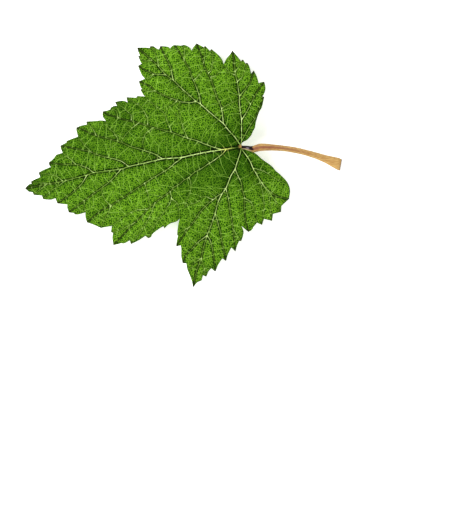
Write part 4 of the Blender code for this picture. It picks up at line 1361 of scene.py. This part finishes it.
@dataclass(frozen=True)
class Toning:
    """What the blade's material reads: where its colours change, with places in the photograph's pixels.

    A patchiness is its middle, its spread, its wavelength and its limits. A painted shade area is its place,
    its reach and its strength, which paints shade, and paints light where it is below 0.
    """

    farthest: float = 0.0008
    yellow_place: Pair = (227.0, 149.2)
    yellow_reach: float = 0.0012
    hub_place: Pair = (241.0, 146.4)
    hub_reach: float = 0.00030
    hub_fading: float = 0.40
    hub_fading_reach: float = 0.0021
    # painted shade where the midrib ends at the junction: it darkens with the groove colour and dims the pale
    # veins
    junction_shadow_place: Pair = (237.0, 147.7)
    junction_shadow_reach: Pair = (0.00080, 0.00034)
    junction_shadow_share: float = 0.95
    node_gain: float = 0.30
    node_reach: float = 0.00014
    pale_patches: Patchiness = (0.90, 0.22, 0.0016, 0.3, 1.1)
    shadow_patches: Patchiness = (0.92, 0.30, 0.0007, 0.4, 1.0)
    panel_light_reach: float = 0.0011
    rim_reach: float = 0.00013
    tooth_reach: float = 0.00034
    painted_shade_areas: tuple[tuple[Pair, float, float], ...] = (
        ((242.0, 160.0), 0.0062, 1.15),
        ((198.0, 168.0), 0.0065, 0.50),
        ((42.0, 187.0), 0.0065, 0.50),
        ((98.0, 132.0), 0.0060, 0.15),
        ((112.0, 108.0), 0.0030, 0.20),
        ((108.0, 155.0), 0.0075, 0.30),
        ((165.0, 120.0), 0.0080, 0.15),
        ((175.0, 48.0), 0.0050, -0.25),
        ((148.0, 56.0), 0.0040, -0.25),
        ((208.0, 58.0), 0.0050, -0.30),
        ((95.0, 210.0), 0.0065, -0.25),
        ((115.0, 235.0), 0.0050, -0.25),
        ((165.0, 212.0), 0.0050, -0.25),
        ((258.0, 195.0), 0.0060, -0.35),
        ((190.0, 192.0), 0.0030, 0.25),
    )

    def patches(self, points: np.ndarray, patchiness: Patchiness, seed: Seed) -> np.ndarray:
        """Gives a patchy strength: a ripple about its middle, kept within its limits."""
        middle, spread, wavelength, low, high = patchiness
        return np.clip(middle + spread * ripple(points, wavelength, seed), low, high)

    def values(
        self, points: np.ndarray, near: dict[VeinRank, NearVein], margin: Margin, nodes: np.ndarray
    ) -> dict[str, np.ndarray]:
        """Works out the numbers that the material reads. Distances to a vein and its width are in metres:
        away and width for the nearest vein, flank and flank_width for the nearest one that isn't of the
        smallest rank. The others go from 0 to about 1.

        Args:
            points: Places from the junction, two columns.
            near: The nearest vein of each rank for each place, the smallest rank last.
            margin: The blade's outline.
            nodes: Where veins leave others.

        Returns:
            The numbers by name.
        """
        rows = np.arange(len(points))
        away = np.array([found.widths_away for found in near.values()])
        distance = np.array([found.distance for found in near.values()])
        width = np.array([found.width for found in near.values()])
        paleness = np.array([found.paleness for found in near.values()])
        darkness = np.array([rank.darkness for rank in near])
        nearest, grooved = away.argmin(axis=0), away[:-1].argmin(axis=0)

        from_hub = distance_to(points, self.hub_place)
        by_hub = 1.0 - self.hub_fading * bell(from_hub, self.hub_fading_reach)
        # painted shade at the junction
        from_junction_shadow = (points - from_junction((self.junction_shadow_place,))) / self.junction_shadow_reach
        dimmed = np.exp(-(from_junction_shadow**2).sum(axis=1))
        patchy = self.patches(points, self.pale_patches, Seed.PALE_PATCHES)
        patchy = patchy + self.node_gain * bell(nearest_distance(points, nodes), self.node_reach)
        pale = np.minimum(paleness[nearest, rows] * patchy, 1.0)
        # painted shade, and painted light where a strength is below 0, in the listed areas
        shade = np.zeros(len(points))
        for place, reach, strength in self.painted_shade_areas:
            shade += strength * bell(distance_to(points, place), reach)
        return {
            "away": np.minimum(distance[nearest, rows], self.farthest),
            "width": width[nearest, rows],
            "flank": np.minimum(distance[grooved, rows], self.farthest),
            "flank_width": width[grooved, rows],
            "pale": pale * (1.0 - self.junction_shadow_share * dimmed) * by_hub,
            # how much painted groove shadow shows on the flanks of the nearest larger vein, patchy
            "dark": darkness[grooved] * self.patches(points, self.shadow_patches, Seed.SHADOW_PATCHES),
            # painted shade at the junction; the pale share above is dimmed by it too
            "dimmed": dimmed,
            # painted light: 1 in a panel's middle, less towards its veins
            "panel": 1.0 - np.exp(-distance[:-1].min(axis=0) / self.panel_light_reach),
            # painted shade and painted light of the listed areas
            "shade": shade,
            "rim": bell(margin.distance(points), self.rim_reach),
            "tooth": bell(margin.tip_distance(points), self.tooth_reach),
            "yellow": bell(distance_to(points, self.yellow_place), self.yellow_reach),
            "hub": np.exp(-((from_hub / self.hub_reach) ** 4)),
        }


@dataclass
class Blade:
    """The blade: one thin closed body whose upper face is grooved and whose lower face is ribbed."""

    origin: np.ndarray
    margin: Margin
    venation: Venation
    form: BladeForm = field(default_factory=BladeForm)
    relief: Relief = field(default_factory=Relief)
    toning: Toning = field(default_factory=Toning)
    finish: BladeFinish = field(default_factory=BladeFinish)
    thickness: float = 0.00028
    least_thickness: float = 0.00008
    rim_thickness: float = 0.00015
    rim_reach: float = 0.0006
    row_step: float = 0.00030
    lattice_step: float = 0.00031
    square: float = 0.00008
    clear_squares: int = 1
    clear_of_margin: float = 0.00011
    narrowest_gap: float = 0.00002

    def build(self) -> bpy.types.Object:
        """Builds and dresses the blade.

        Returns:
            The blade's object.
        """
        points, triangles = self.net()
        near = {rank: net.near(points) for rank, net in self.venation.nets.items()}
        low, high = self.heights(points, near)
        rim = len(self.margin.line)
        count = len(points)
        plan = points + self.origin
        corners = np.vstack([np.column_stack([plan, high]), np.column_stack([plan, low])])
        first = np.arange(rim)
        second = np.roll(first, -1)
        walls = np.vstack([
            np.column_stack([first, first + count, second + count]),
            np.column_stack([first, second + count, second]),
        ])
        faces = np.vstack([triangles, triangles[:, ::-1] + count, walls])
        piece = new_object("blade_skin", corners, faces)
        values = self.toning.values(points, near, self.margin, self.venation.nodes)
        doubled = {name: np.tile(numbers, 2) for name, numbers in values.items()}
        doubled["underside"] = np.repeat([0.0, 1.0], count)
        add_values(piece, doubled)
        piece.data.materials.append(self.finish.material())
        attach(piece, "root")
        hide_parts("leaf_blade")
        return piece

    def lower_heights(self, points: np.ndarray) -> np.ndarray:
        """Gives the height of the lower face at places from the junction."""
        near = {rank: net.near(points) for rank, net in self.venation.nets.items()}
        return self.heights(points, near)[0]

    def net(self) -> tuple[np.ndarray, np.ndarray]:
        """Lays out the blade's mesh in plan: the margin, rows along every vein, and an even lattice between.

        Returns:
            The points, the margin's first, and the triangles, which turn left.
        """
        nets = self.venation.nets
        middles = [evenly(line, self.row_step) for net in nets.values() for line in net.lines]
        spine, edges = self.spines(middles)
        rows = [nets[rank].rows(self.row_step, offsets) for rank, offsets in ROW_OFFSETS.items()]
        low, high = self.margin.line.min(axis=0), self.margin.line.max(axis=0)
        across = np.arange(low[0], high[0], self.lattice_step)
        row_height = self.lattice_step * math.sin(math.pi / 3.0)
        up = np.arange(low[1], high[1], row_height)
        lattice = np.stack(np.meshgrid(across, up), axis=-1)
        lattice[1::2, :, 0] += self.lattice_step / 2.0
        sets = [np.vstack([self.margin.line, spine])]
        for loose in (*rows, lattice.reshape(-1, 2)):
            loose = loose[self.margin.inside(loose)]
            sets.append(loose[self.margin.distance(loose) > self.clear_of_margin])
        points = clear_points(sets, self.square, self.clear_squares)
        places, triangles, sources = self.triangulated(points, edges)
        spine_end = len(self.margin.line) + len(spine)
        points = np.vstack([points, self.bridges(places, triangles, sources, spine_end)])
        places, triangles, _ = self.triangulated(points, edges)
        triangles = triangles[self.margin.inside(places[triangles].mean(axis=1))]
        log.info("blade net: %d points, %d triangles a face", len(places), len(triangles))
        return places, triangles

    def triangulated(
        self, points: np.ndarray, edges: list[tuple[int, int]]
    ) -> tuple[np.ndarray, np.ndarray, list[list[int]]]:
        """Joins points into triangles inside the margin, with the veins' edges among theirs.

        Args:
            points: The points, the margin's first.
            edges: The veins' edges.

        Returns:
            The corners, the triangles, and the numbers of the points that each corner was made from.
        """
        corners = [Vector(point) for point in points * MILLIMETRES]
        rim = list(range(len(self.margin.line)))
        made = delaunay_2d_cdt(corners, edges, [rim], INSIDE_OUTLINE, SAME_POINT_MM, True)
        return np.array([tuple(corner) for corner in made[0]]) / MILLIMETRES, np.array(made[2]), made[3]

    def bridges(
        self, places: np.ndarray, triangles: np.ndarray, sources: list[list[int]], spine_end: int
    ) -> np.ndarray:
        """Finds the mesh edges that run from one vein's middle to another's, over the gap between them.

        Args:
            places: The mesh's corners.
            triangles: Its triangles.
            sources: The numbers of the points that each corner was made from.
            spine_end: One past the number of the last point on a vein.

        Returns:
            The middles of those edges, where the mesh needs a point between the veins.
        """
        rim = len(self.margin.line)
        on_vein = np.array([not made_from or rim <= min(made_from) < spine_end for made_from in sources])
        pairs = np.vstack([triangles[:, [0, 1]], triangles[:, [1, 2]], triangles[:, [2, 0]]])
        pairs = np.unique(np.sort(pairs, axis=1), axis=0)
        pairs = pairs[on_vein[pairs].all(axis=1)]
        middles = places[pairs].mean(axis=1)
        away = np.min([net.near(middles).distance for net in self.venation.nets.values()], axis=0)
        return middles[(away > self.narrowest_gap) & self.margin.inside(middles)]

    def spines(self, lines: list[np.ndarray]) -> tuple[np.ndarray, list[tuple[int, int]]]:
        """Gathers the points along the middle of every vein that lie clear of the margin.

        Args:
            lines: The middle of each vein.

        Returns:
            The points, and the mesh edges between neighbours, numbered after the margin's points.
        """
        points = np.vstack(lines)
        owners = np.repeat(np.arange(len(lines)), [len(line) for line in lines])
        clear = self.margin.inside(points) & (self.margin.distance(points) > self.clear_of_margin)
        numbers = np.cumsum(clear) - 1 + len(self.margin.line)
        joined = clear[:-1] & clear[1:] & (owners[:-1] == owners[1:])
        return points[clear], list(zip(numbers[:-1][joined].tolist(), numbers[1:][joined].tolist()))

    def heights(self, points: np.ndarray, near: dict[VeinRank, NearVein]) -> tuple[np.ndarray, np.ndarray]:
        """Works out both faces: the main form with its fine relief, which fades out towards the rim, where
        the blade also thins.

        Args:
            points: Places from the junction, two columns.
            near: The nearest vein of each rank for each place.

        Returns:
            Heights of the lower and of the upper face.
        """
        plain = self.form.lower_face(points, near)
        taper = 1.0 - bell(self.margin.distance(points), self.rim_reach)
        thickness = self.rim_thickness + (self.thickness - self.rim_thickness) * taper
        groove, rib = self.relief.along_veins(near)
        lift = taper * self.relief.between_veins(points)
        low = np.maximum(plain + lift - taper * rib, 0.0)
        high = np.maximum(plain + lift, 0.0) + thickness - taper * groove
        return low, np.maximum(high, low + self.least_thickness)


def scattered(shape: np.ndarray, faces: np.ndarray, turns: np.ndarray, places: np.ndarray) -> Mesh:
    """Repeats one small shape at many places.

    Args:
        shape: The shape's corners.
        faces: Its triangles, as corner numbers.
        turns: A matrix for each place that turns and scales the shape.
        places: Where each copy stands.

    Returns:
        The corners and the triangles of all copies.
    """
    corners = np.einsum("nij,kj->nki", turns, shape) + places[:, None, :]
    numbers = np.arange(len(places))[:, None, None] * len(shape) + faces[None, :, :]
    return corners.reshape(-1, 3), numbers.reshape(-1, 3)


@dataclass
class ResinDots:
    """Small domes of yellow resin, scattered over the lower face between its veins.

    A ring of a dome is its radius and height, and a pole its height, in shares of the dome's own radius.
    """

    blade: Blade
    finish: CloudyFinish = RESIN
    tries: int = 2600
    sides: int = 8
    radius: Pair = (0.00006, 0.00011)
    rings: tuple[Pair, ...] = ((1.0, 0.0), (0.9, -0.40), (0.5, -0.78))
    poles: Pair = (-0.9, 0.1)
    clear_of_vein: float = 0.00022
    clear_of_floor: float = 0.00016
    sunk: float = 0.00002

    def build(self) -> bpy.types.Object:
        """Builds and dresses the dots.

        Returns:
            One object that holds them all.
        """
        blade, draws = self.blade, seeded(Seed.DOTS)
        low, high = blade.margin.line.min(axis=0), blade.margin.line.max(axis=0)
        points = draws.uniform(low, high, (self.tries, 2))
        points = points[blade.margin.inside(points)]
        points = points[blade.margin.distance(points) > self.clear_of_vein]
        from_vein = np.min([net.near(points).distance for net in blade.venation.nets.values()], axis=0)
        points = points[from_vein > self.clear_of_vein]
        level = blade.lower_heights(points)
        points, level = points[level > self.clear_of_floor], level[level > self.clear_of_floor]
        turn = np.linspace(0.0, 2.0 * math.pi, self.sides, endpoint=False)
        circle = np.column_stack([np.cos(turn), np.sin(turn)])
        rings = [np.column_stack([wide * circle, np.full(self.sides, high)]) for wide, high in self.rings]
        shape = np.vstack([*rings, [(0.0, 0.0, high) for high in self.poles]])
        faces = dome_faces(self.sides, len(rings))
        size = draws.uniform(*self.radius, len(points))
        turns = np.eye(3)[None, :, :] * size[:, None, None]
        places = np.column_stack([points + blade.origin, level + self.sunk])
        piece = new_object("resin_dots", *scattered(shape, faces, turns, places))
        piece.data.materials.append(self.finish.material())
        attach(piece, "root")
        return piece


def dome_faces(sides: int, rings: int) -> np.ndarray:
    """Gives the triangles of a dome that hangs down: rings from the top, then a lower and an upper pole.

    Args:
        sides: Corners in a ring.
        rings: Number of rings.

    Returns:
        The triangles, turned outwards.
    """
    lower_pole, upper_pole = rings * sides, rings * sides + 1
    last = (rings - 1) * sides
    faces = []
    for number in range(sides):
        following = (number + 1) % sides
        for ring in range(0, last, sides):
            faces.append((ring + number, ring + sides + following, ring + following))
            faces.append((ring + number, ring + sides + number, ring + sides + following))
        faces.append((last + number, lower_pole, last + following))
        faces.append((number, following, upper_pole))
    return np.array(faces)


# A three-sided spike: its foot, its walls up to the waist, and its walls from there to the point
SPIKE_FACES = (
    (0, 2, 1), (0, 1, 4), (0, 4, 3), (1, 2, 5), (1, 5, 4), (2, 0, 3), (2, 3, 5),
    (3, 4, 6), (4, 5, 6), (5, 3, 6),
)


@dataclass
class Hairs:
    """Short colourless hairs that stand on the ribs of the lower face: thin three-sided spikes."""

    blade: Blade
    finish: CloudyFinish = HAIR
    spacing: float = 0.00034
    length: Pair = (0.00028, 0.00055)
    radius: float = 0.000011
    lean: Pair = (0.2, 0.9)
    scatter: float = 0.00006
    sunk: float = 0.00003
    waist: float = 0.6
    clear_of_floor: float = 0.00015

    def build(self) -> bpy.types.Object:
        """Builds and dresses the hairs.

        Returns:
            One object that holds them all.
        """
        blade, draws = self.blade, seeded(Seed.HAIRS)
        lines = [line for rank in (MIDRIB, LOBE, SIDE) for line in blade.venation.nets[rank].lines]
        points = np.vstack([evenly(line, self.spacing)[1:-1] for line in lines])
        points = points + draws.normal(0.0, self.scatter, points.shape)
        points = points[blade.margin.inside(points)]
        length = draws.uniform(*self.length, len(points))
        level = blade.lower_heights(points) + self.sunk
        kept = level - length > self.clear_of_floor
        points, length, level = points[kept], length[kept], level[kept]
        angle = draws.uniform(0.0, 2.0 * math.pi, len(points))
        lean = draws.uniform(*self.lean, len(points))
        along = np.column_stack([np.cos(angle) * np.sin(lean), np.sin(angle) * np.sin(lean), -np.cos(lean)])
        aside = np.column_stack([-np.sin(angle), np.cos(angle), np.zeros(len(points))])
        across = np.cross(along, aside)
        turns = np.stack([aside * self.radius, across * self.radius, along * length[:, None]], axis=2)
        corner = np.arange(3) * 2.0 * math.pi / 3.0
        foot = np.column_stack([np.cos(corner), np.sin(corner), np.zeros(3)])
        shape = np.vstack([foot, self.waist * foot + (0.0, 0.0, self.waist), [(0.0, 0.0, 1.0)]])
        places = np.column_stack([points + blade.origin, level])
        piece = new_object("hairs", *scattered(shape, np.array(SPIKE_FACES), turns, places))
        piece.data.materials.append(self.finish.material())
        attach(piece, "root")
        return piece


@dataclass
class Stalk:
    """The stalk: a profile with a channel along its top, carried along a path from the blade to the floor.

    A section is its share of the length, and its width and height as shares of the stalk's own width. The
    grain's ridges along the stalk are their height, their number round it and their turn.
    """

    origin: np.ndarray
    cad_top: float
    finish: StalkFinish = field(default_factory=StalkFinish)
    start_place: Pair = (241.6, 147.45)
    below_cad_top: float = 0.0003
    length: float = 0.018
    width: float = 0.00125
    gap: float = 0.0003
    sway: float = 0.0012
    sink: float = 0.00025
    run_in: float = 0.0009
    rings: int = 260
    sides: int = 72
    channel_depth: float = 0.20
    channel_width: float = 0.62
    channel_roundness: float = 1.5
    channel_fading: float = 1.15
    flat_share: float = 0.82
    dip: float = 0.00033
    dip_share: float = 0.095
    dip_reach: float = 0.05
    ridges: tuple[tuple[float, float, float], ...] = ((0.012, 9.0, 1.3), (0.010, 17.0, 0.0))
    knots: Pair = (0.03, 0.0035)
    upper_side: Pair = (0.55, -0.2)
    sections: tuple[tuple[float, float, float], ...] = (
        (-0.06, 0.50, 0.52), (0.00, 0.58, 0.60), (0.04, 0.64, 0.70), (0.07, 0.76, 0.78), (0.09, 0.92, 0.82),
        (0.11, 1.08, 0.86), (0.15, 1.14, 0.90), (0.20, 1.06, 0.90), (0.28, 0.90, 0.88), (0.40, 0.82, 0.86),
        (0.60, 0.84, 0.84), (0.74, 0.92, 0.82), (0.84, 1.15, 0.78), (0.92, 1.50, 0.72), (0.97, 1.70, 0.66),
        (1.00, 1.62, 0.50),
    )

    def build(self) -> bpy.types.Object:
        """Builds and dresses the stalk.

        Returns:
            The stalk's object.
        """
        shares = np.linspace(-self.run_in / self.length, 1.0, self.rings)
        turn = np.linspace(0.0, 2.0 * math.pi, self.sides, endpoint=False) - math.pi / 2.0
        across, up = np.cos(turn), np.sin(turn)
        open_share = np.clip(1.0 - (across / self.channel_width) ** 2, 0.0, 1.0)
        channel = open_share**self.channel_roundness * (up > 0.0)
        grid = self.skin(shares, turn, channel)
        ends = np.array([grid[: self.sides].mean(axis=0), grid[-self.sides:].mean(axis=0)])
        piece = new_object("stalk_skin", np.vstack([grid, ends]), self.triangles())
        shift, lowest = self.upper_side
        upper_side = np.clip(across + shift, 0.0, 1.0) * (up > lowest)
        add_values(piece, {
            "along": np.append(np.repeat(shares, self.sides), [0.0, 1.0]),
            "channel": np.append(np.tile(channel, self.rings), [0.0, 0.0]),
            "upper_side": np.append(np.tile(upper_side, self.rings), [0.0, 0.0]),
        })
        piece.data.materials.append(self.finish.material())
        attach(piece, "root")
        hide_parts("leaf_stalk")
        return piece

    def skin(self, shares: np.ndarray, turn: np.ndarray, channel: np.ndarray) -> np.ndarray:
        """Carries the profile along the path. In plan the path is straight, bowed to one side by half a sine
        wave and bent back by a small bell by the blade. It comes down from the blade to the floor as a cubic
        that is level at both ends. The profile is an ellipse with a flat bottom and a dent for the channel,
        and its width varies by lengthwise ridges and slow knots.

        Args:
            shares: Share of the length at each ring, below 0 under the blade.
            turn: Angle of each corner round the ring.
            channel: How deep in the channel each corner of a ring is, from 0 to 1.

        Returns:
            The corners, ring by ring.
        """
        table = np.array(self.sections)
        width = self.width * np.interp(shares, table[:, 0], table[:, 1])
        height = self.width * np.interp(shares, table[:, 0], table[:, 2])
        heading = np.array(STALK_HEADING) * (1.0, -1.0)
        heading = heading / np.linalg.norm(heading)
        aside = np.array([-heading[1], heading[0]])
        clipped = np.clip(shares, 0.0, 1.0)
        bow = self.sway * np.sin(math.pi * clipped) - self.dip * bell(shares - self.dip_share, self.dip_reach)
        start = from_junction((self.start_place,))[0] + heading * self.gap + self.origin
        plan = start + np.outer(shares * self.length, heading) + np.outer(bow, aside)
        easing = clipped**2 * (3.0 - 2.0 * clipped)
        start_height = self.cad_top - self.below_cad_top - height[np.searchsorted(shares, 0.0)]
        base = np.maximum((start_height + self.sink) * (1.0 - easing) - self.sink, 0.0)

        fade = np.clip(self.channel_fading - shares, 0.0, 1.0)[:, None]
        dent = self.channel_depth * 2.0 * channel * fade
        level = np.clip(np.sin(turn) - dent, -self.flat_share, 1.0)
        grain = sum(rise * np.sin(count * turn + phase) for rise, count, phase in self.ridges)
        knot_rise, knot_size = self.knots
        middles = np.column_stack([shares * self.length, 0.0 * shares])
        knots = knot_rise * ripple(middles, knot_size, Seed.STALK_KNOTS)[:, None]
        reach = (1.0 + grain + knots) * width[:, None] / 2.0
        x = plan[:, 0, None] + aside[0] * np.cos(turn) * reach
        y = plan[:, 1, None] + aside[1] * np.cos(turn) * reach
        z = base[:, None] + (level + self.flat_share) * height[:, None] / (1.0 + self.flat_share)
        return np.stack([x, y, z], axis=-1).reshape(-1, 3)

    def triangles(self) -> np.ndarray:
        """Gives the skin's triangles: two for each step along and round it, and a fan over each end.

        Returns:
            The triangles as corner numbers, turned outwards.
        """
        side = np.arange(self.sides)
        other = (side + 1) % self.sides
        ring = np.arange(self.rings - 1)[:, None] * self.sides
        here, next_here = ring + side, ring + self.sides + side
        there, next_there = ring + other, ring + self.sides + other
        walls = np.stack([here, next_here, next_there, here, next_there, there], axis=-1).reshape(-1, 3)
        centre = self.rings * self.sides
        last = centre - self.sides
        first_middle, last_middle = np.full(self.sides, centre), np.full(self.sides, centre + 1)
        caps = np.stack([first_middle, side, other, last_middle, last + other, last + side], axis=-1)
        return np.vstack([walls, caps.reshape(-1, 3)])


@dataclass(frozen=True)
class Lamp:
    """A round soft light that faces the leaf."""

    name: str
    place: tuple[float, float, float]
    size: float
    power: float

    def hang(self) -> None:
        """Puts the light in the scene."""
        data = bpy.data.lights.new(self.name, "AREA")
        data.shape = "DISK"
        data.size = self.size
        data.energy = self.power
        light = bpy.data.objects.new(self.name, data)
        light.location = self.place
        light.rotation_euler = Vector(self.place).to_track_quat("Z", "Y").to_euler()
        bpy.context.scene.collection.objects.link(light)


@dataclass(frozen=True)
class Studio:
    """A plain pale floor, soft light and the camera straight above, with the photograph's framing."""

    origin: Pair
    lens: float = 600.0
    sensor: float = 36.0
    clip_range: Pair = (0.01, 10.0)
    true_size_height: float = 0.0016
    floor_size: float = 1.6
    floor_whites: tuple[Colour, Colour] = ((0.90, 0.90, 0.90), (0.92, 0.92, 0.92))
    floor_cloud_size: float = 0.05
    floor_roughness: float = 0.9
    floor_shine: float = 0.1
    floor_glow: float = 0.55
    white: tuple[float, float, float, float] = (1.0, 1.0, 1.0, 1.0)
    sky_strength: float = 0.42
    lamps: tuple[Lamp, ...] = (
        Lamp("key", (-0.56, 0.16, 0.74), 0.70, 8.0),
        Lamp("fill", (0.25, -0.65, 0.80), 0.60, 3.0),
    )

    def build(self) -> None:
        """Builds the floor, the lights and the camera."""
        self.floor()
        self.lights()
        self.camera()

    def camera(self) -> None:
        """Puts the camera straight above the place of the picture's middle, at the distance from which each
        pixel has its size at the height of most of the blade: the picture's longer side spans the sensor."""
        middle = from_junction(((PICTURE_SIZE[0] / 2.0, PICTURE_SIZE[1] / 2.0),))[0] + self.origin
        distance = self.lens / self.sensor * max(PICTURE_SIZE) * METRES_PER_PIXEL
        data = bpy.data.cameras.new("camera")
        data.lens = self.lens
        data.sensor_width = self.sensor
        data.clip_start, data.clip_end = self.clip_range
        camera = bpy.data.objects.new("camera", data)
        camera.location = (middle[0], middle[1], self.true_size_height + distance)
        bpy.context.scene.collection.objects.link(camera)
        bpy.context.scene.camera = camera

    def floor(self) -> None:
        """Lays the floor."""
        half = self.floor_size / 2.0
        corners = np.array([(-half, -half, 0.0), (half, -half, 0.0), (half, half, 0.0), (-half, half, 0.0)])
        piece = new_object("floor", corners, [(0, 1, 2, 3)], smooth=False)
        book = NodeBook("floor_paper")
        shade = book.noise(book.place(), self.floor_cloud_size)
        book.finish(book.mixed(shade, *self.floor_whites), self.floor_roughness)
        book.shader.inputs["Specular IOR Level"].default_value = self.floor_shine
        book.shader.inputs["Emission Color"].default_value = self.white
        book.shader.inputs["Emission Strength"].default_value = self.floor_glow
        piece.data.materials.append(book.material)

    def lights(self) -> None:
        """Hangs a soft light at the upper left and a weaker one at the lower right, with a pale sky."""
        for lamp in self.lamps:
            lamp.hang()
        world = bpy.data.worlds.new("sky")
        world.use_nodes = True
        world.node_tree.nodes["Background"].inputs["Color"].default_value = self.white
        world.node_tree.nodes["Background"].inputs["Strength"].default_value = self.sky_strength
        bpy.context.scene.world = world
        bpy.context.scene.view_settings.view_transform = "Standard"


def main() -> None:
    """Builds the leaf and its studio in order, and reports each piece."""
    logging.basicConfig(level=logging.INFO, format="%(name)s: %(message)s")
    low, high = (np.array(corner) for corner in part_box("leaf_blade"))
    stalk_high = np.array(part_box("leaf_stalk")[1])
    reach = from_junction((TERMINAL_TIP, HIGHEST_TOOTH))
    origin = np.array([low[0] - reach[0, 0], high[1] - reach[1, 1]])
    margin = Margin()
    blade = Blade(origin, margin, Venation(margin))
    parts = (blade, Stalk(origin, stalk_high[2]), ResinDots(blade), Hairs(blade))
    pieces = [part.build() for part in parts]
    Studio((float(origin[0]), float(origin[1]))).build()
    for piece in pieces:
        log.info("%s: %d faces", piece.name, len(piece.data.polygons))


if __name__ == "__main__":
    main()
